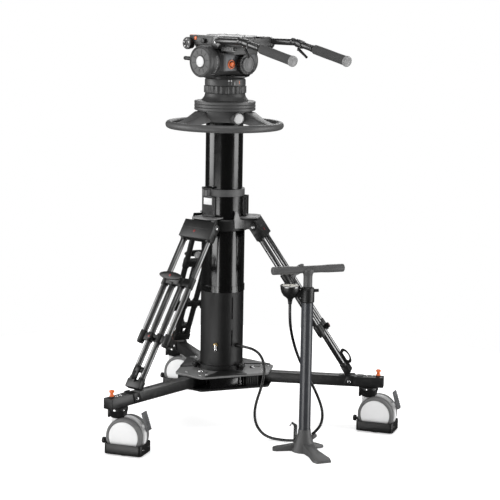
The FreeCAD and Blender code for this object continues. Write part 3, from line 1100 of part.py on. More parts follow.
def make_pump():
    """Cast base, barrel, top cap with its gauge, the handle on its rod, and the foot hook."""
    middle = (PUMP_X, PUMP_Y)
    cone = turned([(0, 0), (PUMP_CONE_R + PUMP_CONE_STEP, 0), (PUMP_CONE_R, 14),
                   (PUMP_CONE_R - 10, 44), (PUMP_BARREL_R + 1, PUMP_CONE_TOP), (0, PUMP_CONE_TOP)],
                  *middle)
    feet = []
    for azimuth, length, half in PUMP_FEET:
        waist = half * 0.7
        foot = prism([(0, -waist), (length / 2, -waist), (length, -half), (length, half),
                      (length / 2, waist), (0, waist)], 0, PUMP_FOOT_HEIGHT)
        above = slab([(-40, 50), (0, 40), (PUMP_CONE_R, 26), (length + 1, PUMP_FOOT_TIP),
                      (length + 1, 60), (-40, 60)], -half - 30, half + 30)
        feet.append(shift(turn(foot.cut(above), azimuth), *middle))
    hook_x, hook_y = PUMP_X + HOOK_X, PUMP_Y + HOOK_Y
    lug = box(hook_x - 3, hook_x + 12, hook_y - 16, hook_y - FACE_GAP, 4, HOOK_PIVOT_Z + 8)
    hook_pin = rod((hook_x, hook_y - 8, HOOK_PIVOT_Z), (hook_x, hook_y + 5, HOOK_PIVOT_Z),
                   HOOK_PIN_R)
    base = union(cone, lug, hook_pin, port(AIR_HOSE), port(GAUGE_HOSE), *feet)
    base = base.cut(cyl(PUMP_BARREL_R, PUMP_SOCKET, PUMP_CONE_TOP + 20, *middle))

    cap_seat = PUMP_CAP_BOTTOM + PUMP_CAP_LAP
    barrel = ring(PUMP_BARREL_R, PUMP_BORE_R, PUMP_SOCKET, cap_seat, *middle)
    skirt = ring(PUMP_CAP_R, PUMP_BARREL_R, PUMP_CAP_BOTTOM, cap_seat, *middle)
    cap = cyl(PUMP_CAP_R, cap_seat, PUMP_CAP_TOP, *middle)
    latch = rod((PUMP_X + 20, PUMP_Y, PUMP_CAP_TOP - 12), (PUMP_X + 40, PUMP_Y - 4, PUMP_CAP_TOP - 10),
                6)
    rod_hole = cyl(PUMP_ROD_R + RUN_GAP, PUMP_CAP_BOTTOM, PUMP_CAP_TOP + 1, *middle)
    cap = union(cap, skirt, latch).cut(rod_hole)

    low = GAUGE_TOP - GAUGE_DEPTH
    mouth = GAUGE_HOSE[0][2]
    gauge = turned([(0, mouth), (GAUGE_BRIDGE - 2, mouth), (GAUGE_BRIDGE, low - 4), (12, low),
                    (24, low + 10), (32, low + 24), (GAUGE_R, GAUGE_TOP - 8), (GAUGE_R, GAUGE_TOP),
                    (0, GAUGE_TOP)], PUMP_X - GAUGE_OUT, PUMP_Y)
    bridge = box(PUMP_X - GAUGE_OUT + 12, PUMP_X - PUMP_CAP_R + 4, PUMP_Y - GAUGE_BRIDGE,
                 PUMP_Y + GAUGE_BRIDGE, cap_seat + 4, PUMP_CAP_TOP - 8)
    gauge = union(gauge, bridge).cut(cyl(PUMP_CAP_R, PUMP_CAP_BOTTOM - 9, PUMP_CAP_TOP + 9, *middle))
    add("pump_body", base, barrel, cap, gauge)

    shaft = cyl(PUMP_ROD_R, PUMP_CUP_AT + 10, PUMP_BAR_Z, *middle)
    cup = cyl(PUMP_BORE_R - RUN_GAP, PUMP_CUP_AT, PUMP_CUP_AT + PUMP_CUP, *middle)
    neck_low = PUMP_CAP_TOP + FACE_GAP
    neck = turned([(0, neck_low), (PUMP_NECK_R, neck_low), (PUMP_NECK_R, PUMP_BAR_Z - 16),
                   (PUMP_NECK_R + 6, PUMP_BAR_Z - 4), (0, PUMP_BAR_Z - 4)], *middle)
    bar = rod((-PUMP_BAR_HALF, 0, PUMP_BAR_Z), (PUMP_BAR_HALF, 0, PUMP_BAR_Z), PUMP_BAR_R)
    bar = shift(turn(bar, PUMP_BAR_YAW), *middle)
    nub = cyl(PUMP_NUB_R, PUMP_BAR_Z + 8, PUMP_BAR_Z + 20, PUMP_X - 22, PUMP_Y - 8)
    add("pump_handle", union(shaft, cup, neck, bar, nub))

    end = HOOK_PIVOT_Z + HOOK_LENGTH
    strip = box(hook_x - HOOK_HALF, hook_x + HOOK_HALF, hook_y, hook_y + HOOK_THICK,
                HOOK_PIVOT_Z - HOOK_HALF, end - 12)
    curl = slab([(hook_x - 24, end - 20), (hook_x - 20, end - 20), (hook_x - 14, end - 6),
                 (hook_x + HOOK_HALF, end - 14), (hook_x + HOOK_HALF, end - 10),
                 (hook_x - 14, end)], hook_y, hook_y + HOOK_CURL)
    pin_hole = rod((hook_x, hook_y - 1, HOOK_PIVOT_Z), (hook_x, hook_y + 4, HOOK_PIVOT_Z),
                   HOOK_PIN_R + RUN_GAP)
    add("pump_hook", union(strip, curl).cut(pin_hole))


def hose_path(points):
    """Straight runs joined by arcs as large as the runs allow. Returns the wire and radii."""
    corners = [V(*p) for p in points]
    edges = []
    radii = []
    here = corners[0]
    for before, corner, after in zip(corners, corners[1:], corners[2:]):
        into = (corner - before).normalize()
        out = (after - corner).normalize()
        half_turn = into.getAngle(out) / 2
        shorter = min((corner - before).Length, (after - corner).Length)
        reach = 0.45 * shorter
        radius = reach / math.tan(half_turn)
        radii.append(radius)
        start = corner - into * reach
        end = corner + out * reach
        bisector = (out - into).normalize()
        centre = corner + bisector * (radius / math.cos(half_turn))
        middle = centre - bisector * radius
        edges.append(Part.LineSegment(here, start).toShape())
        edges.append(Part.Arc(start, middle, end).toShape())
        here = end
    edges.append(Part.LineSegment(here, corners[-1]).toShape())
    return Part.Wire(edges), radii


def make_hose(name, points):
    wire, radii = hose_path(points)
    start = V(*points[0])
    direction = V(*points[1]) - start
    section = Part.Wire([Part.makeCircle(HOSE_R, start, direction)])
    tube = wire.makePipeShell([section], True, False)
    expected = math.pi * HOSE_R ** 2 * wire.Length
    print(name, "length %.0f" % wire.Length, "least radius %.0f" % min(radii),
          "volume ratio %.4f" % (tube.Volume / expected), "valid", tube.isValid())
    print("  radii", [round(r) for r in radii])
    add(name, tube)


make_hub()
make_dolly()
make_column()
make_crown()
make_legs()
make_lift()
make_valve()
make_pan_stage()
make_tilt_controls()
make_tilt_body()
make_platform()
make_pan_bar("left", -1)
make_pan_bar("right", 1)
make_pump()
make_hose("air_hose", AIR_HOSE)
make_hose("gauge_hose", GAUGE_HOSE)

os.makedirs("parts", exist_ok=True)
for name, shape in parts.items():
    shape.exportStep("parts/" + name + ".step")
print(len(parts), "sub-parts written")
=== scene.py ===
# %% [markdown]
# # The finish of a studio camera stand
# The stand is already built at its real size, piece by piece. This notebook dresses it: it keeps the
# tubes that are right as they are, models the castings, knobs and casters with the small shapes
# that they have on the bench, and gives every surface its paint, plastic or metal.

# %% Load the stand
import math

import bmesh
import bpy
from mathutils import Matrix, Vector


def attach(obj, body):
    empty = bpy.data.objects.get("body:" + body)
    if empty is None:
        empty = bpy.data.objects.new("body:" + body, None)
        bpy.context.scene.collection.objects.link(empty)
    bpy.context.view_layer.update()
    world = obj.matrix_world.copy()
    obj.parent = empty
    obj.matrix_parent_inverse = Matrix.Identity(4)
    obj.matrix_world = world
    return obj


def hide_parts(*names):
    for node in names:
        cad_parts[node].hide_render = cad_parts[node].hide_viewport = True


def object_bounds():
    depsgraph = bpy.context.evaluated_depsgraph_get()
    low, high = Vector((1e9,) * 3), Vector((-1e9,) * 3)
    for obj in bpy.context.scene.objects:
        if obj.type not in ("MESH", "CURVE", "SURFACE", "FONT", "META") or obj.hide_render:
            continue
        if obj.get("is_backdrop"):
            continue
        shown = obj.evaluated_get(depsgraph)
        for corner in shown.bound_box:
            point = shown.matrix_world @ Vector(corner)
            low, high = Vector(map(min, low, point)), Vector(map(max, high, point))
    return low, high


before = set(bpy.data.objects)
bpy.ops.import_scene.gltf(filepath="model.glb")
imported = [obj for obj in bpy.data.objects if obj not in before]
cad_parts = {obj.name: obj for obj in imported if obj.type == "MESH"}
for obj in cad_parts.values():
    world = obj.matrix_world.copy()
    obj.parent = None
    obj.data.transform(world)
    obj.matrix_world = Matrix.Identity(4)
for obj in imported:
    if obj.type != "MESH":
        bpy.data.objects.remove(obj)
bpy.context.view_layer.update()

# %% [markdown]
# ## Camera
# A long lens from chest height keeps the column's sides nearly parallel. The pitch and the slight roll
# tilt the camera itself, so the column leans in the picture as little as it does in a hand-held frame.

# %% Camera
LENS_MM = 114.1
SENSOR_MM = 36.0
CAMERA_PLACE = (0.0996, -5.75, 1.6015)
CAMERA_PITCH = 9.41
CAMERA_ROLL = 0.965

camera_data = bpy.data.cameras.new("camera")
camera_data.lens = LENS_MM
camera_data.sensor_width = SENSOR_MM
camera = bpy.data.objects.new("camera", camera_data)
pitch = Matrix.Rotation(math.radians(90 - CAMERA_PITCH), 4, "X")
roll = Matrix.Rotation(math.radians(CAMERA_ROLL), 4, "Z")
camera.matrix_world = Matrix.Translation(CAMERA_PLACE) @ pitch @ roll
bpy.context.scene.collection.objects.link(camera)
bpy.context.scene.camera = camera
print("camera", CAMERA_PLACE, "lens", LENS_MM)

# %% [markdown]
# ## Floor and light
# Black gloss shows only what it reflects. Wide soft boxes on both sides of the camera draw the two
# bright stripes down the column: the low pair is seen in the lower tube, the high pair in the upper. A
# large one above lights the tops. The floor is a pale disc that no gloss reflects, and the room is
# grey to dull surfaces, nearly black to shiny ones, and the same white as the floor to the camera.

# %% Floor
FLOOR_RADIUS = 1.7
FLOOR_COLOUR = (0.9, 0.9, 0.9, 1.0)
FLOOR_GLOW = 0.55

floor_mesh = bpy.data.meshes.new("floor")
floor_shape = bmesh.new()
bmesh.ops.create_circle(floor_shape, cap_ends=True, segments=96, radius=FLOOR_RADIUS)
floor_shape.to_mesh(floor_mesh)
floor_shape.free()
floor = bpy.data.objects.new("floor", floor_mesh)
bpy.context.scene.collection.objects.link(floor)
floor_material = bpy.data.materials.new("floor")
floor_material.use_nodes = True
floor_shader = floor_material.node_tree.nodes["Principled BSDF"]
floor_shader.inputs["Base Color"].default_value = FLOOR_COLOUR
floor_shader.inputs["Roughness"].default_value = 0.9
floor_shader.inputs["Emission Color"].default_value = FLOOR_COLOUR
floor_shader.inputs["Emission Strength"].default_value = FLOOR_GLOW
floor_mesh.materials.append(floor_material)
floor.visible_glossy = False
floor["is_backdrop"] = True
print("floor radius", FLOOR_RADIUS)

# %% Light
SOFT_BOXES = {
    "left_low_box": ((-2.34, -3.0, -0.35), (2.6, 1.35), 66.0),
    "right_low_box": ((3.4, -1.3, -0.35), (2.0, 1.35), 44.0),
    "left_high_box": ((-3.7, -0.5, 1.65), (2.4, 2.6), 116.0),
    "right_high_box": ((3.7, -0.6, 1.65), (2.2, 2.6), 92.0),
    "top_box": ((0.3, -0.9, 4.2), (2.6, 2.6), 62.0),
    "front_box": ((-0.9, -4.8, 3.4), (1.8, 1.4), 16.0),
    "rear_box": ((0.6, 3.4, 2.8), (2.4, 1.6), 45.0),
}
LIGHT_AIM = Vector((0.0, 0.0, 0.7))
ROOM_GREY = 0.24
REFLECTED_GREY = 0.05
BACKGROUND_WHITE = 1.0


def make_soft_box(name, place, size, watts):
    data = bpy.data.lights.new(name, "AREA")
    data.shape = "RECTANGLE"
    data.size, data.size_y = size
    data.energy = watts
    lamp = bpy.data.objects.new(name, data)
    aim = (LIGHT_AIM - Vector(place)).to_track_quat("-Z", "Y").to_matrix().to_4x4()
    lamp.matrix_world = Matrix.Translation(place) @ aim
    lamp.visible_camera = False
    bpy.context.scene.collection.objects.link(lamp)


for box_name, (place, size, watts) in SOFT_BOXES.items():
    make_soft_box(box_name, place, size, watts)

room = bpy.data.worlds.new("room")
room.use_nodes = True
bpy.context.scene.world = room
room_tree = room.node_tree
room_tree.nodes.clear()


def background(level):
    """Flat grey that the room shows to one kind of ray."""
    node = room_tree.nodes.new("ShaderNodeBackground")
    node.inputs["Color"].default_value = (level, level, level, 1.0)
    return node


seen_room = background(BACKGROUND_WHITE)
dark_room = background(ROOM_GREY)
mirrored_room = background(REFLECTED_GREY)
which_ray = room_tree.nodes.new("ShaderNodeLightPath")
choose_dark = room_tree.nodes.new("ShaderNodeMixShader")
choose_room = room_tree.nodes.new("ShaderNodeMixShader")
room_output = room_tree.nodes.new("ShaderNodeOutputWorld")
room_tree.links.new(which_ray.outputs["Is Camera Ray"], choose_room.inputs[0])
room_tree.links.new(which_ray.outputs["Is Glossy Ray"], choose_dark.inputs[0])
room_tree.links.new(dark_room.outputs[0], choose_dark.inputs[1])
room_tree.links.new(mirrored_room.outputs[0], choose_dark.inputs[2])
room_tree.links.new(choose_dark.outputs[0], choose_room.inputs[1])
room_tree.links.new(seen_room.outputs[0], choose_room.inputs[2])
room_tree.links.new(choose_room.outputs[0], room_output.inputs[0])
bpy.context.scene.view_settings.view_transform = "Standard"
print(len(SOFT_BOXES), "soft boxes")

# %% [markdown]
# ## Shader maths as expressions
# A finish is easier to read as a sum than as a web of nodes. This class wraps one socket, so that
# `1 - mask * 0.3` adds the Math nodes itself. Every other node comes from one method, which takes its
# type, its settings and what its sockets get.

# %% Shader maths
class Level:
    """A number that varies over a surface: a node's output that works in an expression."""

    def __init__(self, finish, output):
        self.finish = finish
        self.output = output

    def maths(self, operation, first, second):
        node = self.finish.node("ShaderNodeMath", {"operation": operation}, {0: first, 1: second})
        return Level(self.finish, node.outputs[0])

    def __add__(self, other):
        return self.maths("ADD", self, other)

    def __radd__(self, other):
        return self.maths("ADD", other, self)

    def __sub__(self, other):
        return self.maths("SUBTRACT", self, other)

    def __rsub__(self, other):
        return self.maths("SUBTRACT", other, self)

    def __mul__(self, other):
        return self.maths("MULTIPLY", self, other)

    def __rmul__(self, other):
        return self.maths("MULTIPLY", other, self)

    def __gt__(self, other):
        return self.maths("GREATER_THAN", self, other)

    def __lt__(self, other):
        return self.maths("LESS_THAN", self, other)


class Finish:
    """One paint, plastic or metal, as a material with its own pattern in real sizes."""

    def __init__(self, name):
        self.name = name
        self.material = bpy.data.materials.new(name)
        self.material.use_nodes = True
        self.tree = self.material.node_tree
        self.shader = self.tree.nodes["Principled BSDF"]
        self.place = self.node("ShaderNodeTexCoord").outputs["Object"]

    def feed(self, socket, value):
        if isinstance(value, Level):
            value = value.output
        if isinstance(value, bpy.types.NodeSocket):
            self.tree.links.new(value, socket)
        else:
            socket.default_value = value

    def node(self, kind, settings=None, sockets=None):
        node = self.tree.nodes.new(kind)
        for key, value in (settings or {}).items():
            if key == "stops":
                for element, (position, grey) in zip(node.color_ramp.elements, value):
                    element.position = position
                    element.color = (grey, grey, grey, 1.0)
            else:
                setattr(node, key, value)
        for key, value in (sockets or {}).items():
            self.feed(node.inputs[key], value)
        return node

    def clouds(self, size, detail=3.0):
        """Soft noise whose patches are about this many metres across, from 0 to 1."""
        node = self.node("ShaderNodeTexNoise", None,
                         {"Vector": self.place, "Scale": 1.0 / size, "Detail": detail})
        return Level(self, node.outputs[0])

    def ramp(self, level, low, high):
        """0 below low, 1 above high and straight between them."""
        node = self.node("ShaderNodeValToRGB", {"stops": [(low, 0.0), (high, 1.0)]}, {"Fac": level})
        return Level(self, node.outputs["Color"])

    def mix(self, factor, first, second):
        """Colour between two colours."""
        node = self.node("ShaderNodeMix", {"data_type": "RGBA"}, {0: factor, 6: first, 7: second})
        return node.outputs[2]

    def bump(self, height, distance, strength=1.0):
        node = self.node("ShaderNodeBump", None,
                         {"Height": height, "Distance": distance, "Strength": strength})
        self.feed(self.shader.inputs["Normal"], node.outputs[0])


print("shader maths ready")

# %% [markdown]
# ## Finishes
# Four recipes cover the stand. Powder coat is a dull skin with a fine pebble, moulded plastic is a
# smoother one, metal keeps its reflections under a brushed haze, and gloss paint is nearly a mirror.
# Each has slow patches of tone, where hands and dust have been, because a real surface is never one
# colour. The pebble is drawn in metres, so it has the same size on every piece.

# %% Recipes
DUST = (0.30, 0.29, 0.28, 1.0)


def shade(grey, tint=(1.0, 1.0, 1.0)):
    return (grey * tint[0], grey * tint[1], grey * tint[2], 1.0)


def coated(name, colour, roughness, pebble=0.0011, height=0.00005, dust=0.05, sheen=0.5):
    """Powder coat or moulded plastic: a pebbled skin with smudges and a little dust."""
    finish = Finish(name)
    patches = finish.clouds(0.09)
    smudges = finish.clouds(0.018, 5.0)
    darker = tuple(0.82 * part for part in colour[:3]) + (1.0,)
    tone = finish.mix(patches, darker, colour)
    settled = finish.ramp(smudges, 0.52, 0.72) * dust
    finish.feed(finish.shader.inputs["Base Color"], finish.mix(settled, tone, DUST))
    worn = finish.ramp(patches, 0.35, 0.65)
    finish.feed(finish.shader.inputs["Roughness"], roughness + 0.07 * smudges - 0.05 * worn)
    finish.shader.inputs["Specular IOR Level"].default_value = sheen
    finish.bump(finish.clouds(pebble, 2.0), height)
    return finish


def metal(name, colour, roughness, metallic=1.0, grain=0.0008, height=0.00002):
    """Bare or anodised metal: a fine haze, and duller patches where it is handled."""
    finish = Finish(name)
    haze = finish.clouds(grain, 4.0)
    patches = finish.clouds(0.05)
    duller = tuple(0.85 * part for part in colour[:3]) + (1.0,)
    finish.feed(finish.shader.inputs["Base Color"], finish.mix(patches, duller, colour))
    finish.feed(finish.shader.inputs["Roughness"], roughness + 0.10 * haze * patches)
    finish.shader.inputs["Metallic"].default_value = metallic
    finish.bump(haze, height)
    return finish


def gloss(name, colour, roughness, sheen=0.5):
    """Sprayed and polished: slow patches of tone, and faint wiping marks in its shine."""
    finish = Finish(name)
    patches = finish.clouds(0.12)
    wiped = finish.ramp(finish.clouds(0.03, 6.0), 0.45, 0.75)
    lighter = tuple(1.5 * part for part in colour[:3]) + (1.0,)
    finish.feed(finish.shader.inputs["Base Color"], finish.mix(patches, colour, lighter))
    finish.feed(finish.shader.inputs["Roughness"], roughness + 0.04 * wiped)
    finish.shader.inputs["Specular IOR Level"].default_value = sheen
    return finish


def foam(name, colour):
    """Closed-cell foam: round pits close together, and a soft matt skin."""
    finish = Finish(name)
    cells = finish.node("ShaderNodeTexVoronoi", None, {"Vector": finish.place, "Scale": 900.0})
    pits = Level(finish, cells.outputs["Distance"])
    patches = finish.clouds(0.03)
    tone = finish.mix(patches, colour, tuple(1.35 * part for part in colour[:3]) + (1.0,))
    finish.feed(finish.shader.inputs["Base Color"], tone)
    finish.shader.inputs["Roughness"].default_value = 0.85
    finish.bump(pits + 0.3 * finish.clouds(0.004), 0.00025, 0.8)
    return finish


print("recipes ready")

# %% Finishes of the stand
FINISHES = {
    "arm_paint": coated("arm_paint", shade(0.013), 0.40),
    "orange_plastic": coated("orange_plastic", (0.74, 0.15, 0.028, 1.0), 0.34, dust=0.01),
    "caster_paint": coated("caster_paint", shade(0.78), 0.34, pebble=0.002, height=0.00002, dust=0.02),
    "tyre_rubber": coated("tyre_rubber", shade(0.125), 0.55, dust=0.15),
    "grey_plastic": coated("grey_plastic", shade(0.10, (0.97, 0.98, 1.02)), 0.48),
    "satin_aluminium": metal("satin_aluminium", shade(0.19), 0.26),
    "black_plastic": coated("black_plastic", shade(0.006), 0.42, dust=0.02),
    "hub_paint": coated("hub_paint", shade(0.16), 0.45),
    "black_gloss": gloss("black_gloss", shade(0.0015), 0.15, 0.65),
    "steel": metal("steel", shade(0.62), 0.22),
    "ring_paint": coated("ring_paint", shade(0.070), 0.46),
    "head_paint": coated("head_paint", shade(0.045), 0.44),
    "bar_metal": metal("bar_metal", shade(0.10), 0.30, 0.85),
    "grip_foam": foam("grip_foam", shade(0.042)),
    "cast_grey": coated("cast_grey", shade(0.075), 0.46),
    "brass": metal("brass", (0.70, 0.52, 0.24, 1.0), 0.24),
    "hose_rubber": gloss("hose_rubber", shade(0.006), 0.26, 0.45),
}
PLAIN_FINISHES = {
    "badge_white": coated("badge_white", shade(0.72), 0.35, dust=0.01),
    "badge_grey": coated("badge_grey", shade(0.24), 0.45, dust=0.02),
    "mark_red": coated("mark_red", (0.20, 0.02, 0.018, 1.0), 0.4, dust=0.0),
    "panel_blue_grey": coated("panel_blue_grey", (0.105, 0.108, 0.114, 1.0), 0.40),
    # Black for the printed lines and the gauge's needle. It is also painted shade: the disc under the
    # button's orange ring stands for the shadow in the gap round the button.
    "black_print_and_painted_gap_shade": coated("black_print_and_painted_gap_shade", shade(0.004), 0.6, dust=0.0),
    "satin_black": coated("satin_black", shade(0.006), 0.46, dust=0.01),
    "knob_grey": coated("knob_grey", shade(0.125), 0.42, dust=0.02),
    "pump_blue": coated("pump_blue", (0.034, 0.036, 0.041, 1.0), 0.30, height=0.00002, dust=0.02),
    "dial_cream": coated("dial_cream", (0.72, 0.70, 0.62, 1.0), 0.45, dust=0.0),
}
print(len(FINISHES) + len(PLAIN_FINISHES), "finishes")

# %% [markdown]
# ## Pieces that are right as they are
# The tubes, the lower hub plate, the collar and the piston need no new shape, only their finish. The
# barrel is duller than the polished tubes above it. A node's mesh is loose triangles that already
# point outwards, so it is left alone.

# %% Finish of each kept node
KEPT = {
    "black_gloss": ["lower_tube", "mid_housing", "upper_tube"],
    "black_plastic": ["hub_lower_plate", "collar_lever"],
    "steel": ["column_piston"],
    "ring_paint": ["column_collar"],
}


def dress(node_name, finish):
    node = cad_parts[node_name]
    node.data.materials.clear()
    node.data.materials.append(finish.material)


for slot_name, node_names in KEPT.items():
    for node_name in node_names:
        dress(node_name, FINISHES[slot_name])
dress("base_barrel", PLAIN_FINISHES["satin_black"])
print(1 + sum(len(names) for names in KEPT.values()), "nodes kept")

# %% [markdown]
# ## Hoses
# Two rubber hoses join the column, the pump and its gauge. A hose is one smooth curve that leaves its
# nozzle straight, falls, and lies on the floor where it touches it. The points are its route in metres.

# %% Hoses
HOSE_DIAMETER = 0.010
AIR_HOSE = [
    (0.0739, -0.0689, 0.3020), (0.0960, -0.0895, 0.3020), (0.1210, -0.1060, 0.2984),
    (0.1460, -0.1220, 0.2811), (0.1598, -0.1376, 0.2468), (0.1574, -0.1564, 0.2045),
    (0.1448, -0.1750, 0.1612), (0.1300, -0.1914, 0.1199), (0.1250, -0.2062, 0.0796),
    (0.1330, -0.2214, 0.0453), (0.1550, -0.2366, 0.0190), (0.1850, -0.2518, 0.0080),
    (0.2170, -0.2666, 0.0070), (0.2432, -0.2790, 0.0080), (0.2656, -0.2946, 0.0130),
    (0.2832, -0.3134, 0.0190), (0.2940, -0.3340, 0.0250),
]
GAUGE_HOSE = [
    (0.241, -0.372, 0.522), (0.241, -0.372, 0.482), (0.245, -0.362, 0.436), (0.255, -0.346, 0.388),
    (0.270, -0.333, 0.339), (0.290, -0.325, 0.292), (0.313, -0.322, 0.250), (0.335, -0.323, 0.210),
    (0.353, -0.326, 0.170), (0.365, -0.331, 0.132), (0.364, -0.339, 0.097), (0.350, -0.350, 0.071),
    (0.329, -0.359, 0.056),
]
AIR_HOSE_LENGTH = 0.570
GAUGE_HOSE_LENGTH = 0.514


def make_hose(name, node, route, length):
    data = bpy.data.curves.new(name, "CURVE")
    data.dimensions = "3D"
    data.bevel_depth = HOSE_DIAMETER / 2
    data.bevel_resolution = 6
    data.resolution_u = 10
    data.use_fill_caps = True
    spline = data.splines.new("NURBS")
    spline.points.add(len(route) - 1)
    for point, place in zip(spline.points, route):
        point.co = (*place, 1.0)
    spline.order_u = 3
    spline.use_endpoint_u = True
    data.materials.append(FINISHES["hose_rubber"].material)
    hose = bpy.data.objects.new(name, data)
    bpy.context.scene.collection.objects.link(hose)
    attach(hose, "stand")
    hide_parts(node)
    print(name, length, "m")


make_hose("air_hose_line", "air_hose", AIR_HOSE, AIR_HOSE_LENGTH)
make_hose("gauge_hose_line", "gauge_hose", GAUGE_HOSE, GAUGE_HOSE_LENGTH)

# %% [markdown]
# ## One helper for the bench
# Every new piece is made of solids that are modelled one at a time, in millimetres, and joined in one
# mesh. Each solid starts as a cube, a cone, a turned outline or a cut plate. Its sharp edges are
# rounded before it joins, because a real edge is never knife sharp and a rounded one catches the light.
# A piece is placed in its mesh, so its object stays at the origin, and then it rides on its body.

# %% The piece helper
MM = 0.001
SMOOTH_ANGLE = math.radians(38)
SHARP_ANGLE = math.radians(28)
MERGE_GAP = 0.0005
ROUND_SIDES = 40
ON_SIDE = Matrix.Rotation(math.pi / 2, 4, "X")
FACE_ACROSS = Matrix.Rotation(math.pi / 2, 4, "Y")


def line_frame(start, end):
    """Matrix that stands the z axis on start, pointing at end."""
    first, last = Vector(start), Vector(end)
    turn = (last - first).to_track_quat("Z", "Y").to_matrix().to_4x4()
    return Matrix.Translation(first) @ turn


def round_edges(shape, width, segments=2):
    """Round every edge of a solid that is sharper than SHARP_ANGLE."""
    bmesh.ops.recalc_face_normals(shape, faces=shape.faces)
    sharp = [e for e in shape.edges if e.is_manifold and e.calc_face_angle(0.0) > SHARP_ANGLE]
    bmesh.ops.bevel(shape, geom=sharp, offset=width, offset_type="OFFSET", segments=segments,
                    profile=0.5, affect="EDGES", material=-1, clamp_overlap=True)


def pulled(points, way):
    """Solid between a flat outline and its copy moved that way, and the copy's points."""
    solid = bmesh.new()
    base = solid.faces.new([solid.verts.new(point) for point in points])
    raised = bmesh.ops.extrude_face_region(solid, geom=[base])
    far = [v for v in raised["geom"] if isinstance(v, bmesh.types.BMVert)]
    bmesh.ops.translate(solid, verts=far, vec=way)
    return solid, far


def rectangle(front, rear, half):
    """Corners of a rectangle that lies evenly about the x axis."""
    return [(front, -half), (rear, -half), (rear, half), (front, half)]


class Piece:
    """One piece of the stand in the making."""

    def __init__(self, name, body, finish, place=Matrix()):
        self.name = name
        self.body = body
        self.finish = finish
        self.place = place
        self.shape = bmesh.new()

    def join(self, solid, ease=0.0, place=None):
        """Round a solid's edges, turn its faces outwards and add it to the piece."""
        if ease > 0:
            round_edges(solid, ease)
        if place is not None:
            solid.transform(place)
        bmesh.ops.recalc_face_normals(solid, faces=solid.faces)
        scratch = bpy.data.meshes.new("scratch")
        solid.to_mesh(scratch)
        solid.free()
        self.shape.from_mesh(scratch)
        bpy.data.meshes.remove(scratch)
        return self

    def block(self, low, high, ease=1.0, place=None):
        """Rectangular block between two corners."""
        solid = bmesh.new()
        middle = (Vector(low) + Vector(high)) / 2
        size = Vector(high) - Vector(low)
        stretch = Matrix.Diagonal((*size, 1.0))
        bmesh.ops.create_cube(solid, size=1.0, matrix=Matrix.Translation(middle) @ stretch)
        return self.join(solid, ease, place)

    def rod(self, start, end, radius, end_radius=None, ease=0.8, sides=ROUND_SIDES):
        """Round bar or cone from one point to another."""
        solid = bmesh.new()
        length = (Vector(end) - Vector(start)).length
        last = radius if end_radius is None else end_radius
        bmesh.ops.create_cone(solid, cap_ends=True, cap_tris=False, segments=sides, radius1=radius,
                              radius2=last, depth=length,
                              matrix=Matrix.Translation((0, 0, length / 2)))
        return self.join(solid, ease, line_frame(start, end))

    def turned(self, outline, start=(0, 0, 0), towards=(0, 0, 1), ease=0.0, steps=48):
        """Outline of radius and height pairs, turned about the line from start towards a point."""
        solid = bmesh.new()
        corners = [solid.verts.new((radius, 0.0, height)) for radius, height in outline]
        edges = [solid.edges.new(pair) for pair in zip(corners, corners[1:])]
        if outline[0][0] > 0:
            edges.append(solid.edges.new((corners[-1], corners[0])))
        bmesh.ops.spin(solid, geom=corners + edges, cent=(0, 0, 0), axis=(0, 0, 1),
                       angle=2 * math.pi, steps=steps, use_merge=True)
        bmesh.ops.remove_doubles(solid, verts=solid.verts, dist=MERGE_GAP)
        return self.join(solid, ease, line_frame(start, towards))

    def plate(self, outline, low, high, corner=0.0, ease=1.0, place=None, wall=0.0):
        """Outline of x, y points from low to high, its corners rounded. A wall leaves it open inside."""
        solid, _ = pulled([(x, y, low) for x, y in outline], (0, 0, high - low))
        if corner > 0:
            upright = [e for e in solid.edges if abs(e.verts[0].co.z - e.verts[1].co.z) > MERGE_GAP]
            bmesh.ops.bevel(solid, geom=upright, offset=corner, offset_type="OFFSET", segments=5,
                            profile=0.5, affect="EDGES", material=-1)
        if wall > 0:
            bmesh.ops.recalc_face_normals(solid, faces=solid.faces)
            caps = [f for f in solid.faces if abs(f.normal.z) > 0.9]
            bmesh.ops.inset_region(solid, faces=caps, thickness=wall, use_even_offset=True)
            caps = [f for f in solid.faces if f in caps and f.is_valid]
            loops = [e for f in caps for e in f.edges]
            bmesh.ops.delete(solid, geom=caps, context="FACES_ONLY")
            bmesh.ops.bridge_loops(solid, edges=loops)
        return self.join(solid, ease, place)

    def ball(self, centre, radius, stretch=(1.0, 1.0, 1.0)):
        solid = bmesh.new()
        bmesh.ops.create_uvsphere(solid, u_segments=24, v_segments=14, radius=radius,
                                  matrix=Matrix.Diagonal((*stretch, 1.0)))
        return self.join(solid, 0.0, Matrix.Translation(centre))

    def hoop(self, centre, radius, thick, towards, stretch=(1.0, 1.0, 1.0), steps=96):
        """Ring of round bar about a line, stretched in its own plane if told so."""
        solid = bmesh.new()
        section = bmesh.ops.create_circle(solid, cap_ends=False, segments=20, radius=thick,
                                          matrix=Matrix.Translation((radius, 0, 0)) @ ON_SIDE)
        edges = list({e for v in section["verts"] for e in v.link_edges})
        bmesh.ops.spin(solid, geom=section["verts"] + edges, cent=(0, 0, 0), axis=(0, 0, 1),
                       angle=2 * math.pi, steps=steps, use_merge=True)
        bmesh.ops.transform(solid, verts=solid.verts, matrix=Matrix.Diagonal((*stretch, 1.0)))
        end = Vector(centre) + Vector(towards)
        return self.join(solid, 0.0, line_frame(centre, end))

    def done(self, *stands_for):
        """Make the object, give it its finish and its body, and hide the nodes it stands for."""
        self.shape.transform(Matrix.Scale(MM, 4) @ self.place)
        mesh = bpy.data.meshes.new(self.name)
        self.shape.to_mesh(mesh)
        self.shape.free()
        mesh.shade_smooth()
        mesh.set_sharp_from_angle(angle=SMOOTH_ANGLE)
        chosen = FINISHES.get(self.finish) or PLAIN_FINISHES[self.finish]
        mesh.materials.append(chosen.material)
        made = bpy.data.objects.new(self.name, mesh)
        bpy.context.scene.collection.objects.link(made)
        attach(made, self.body)
        if stands_for:
            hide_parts(*stands_for)
        return made


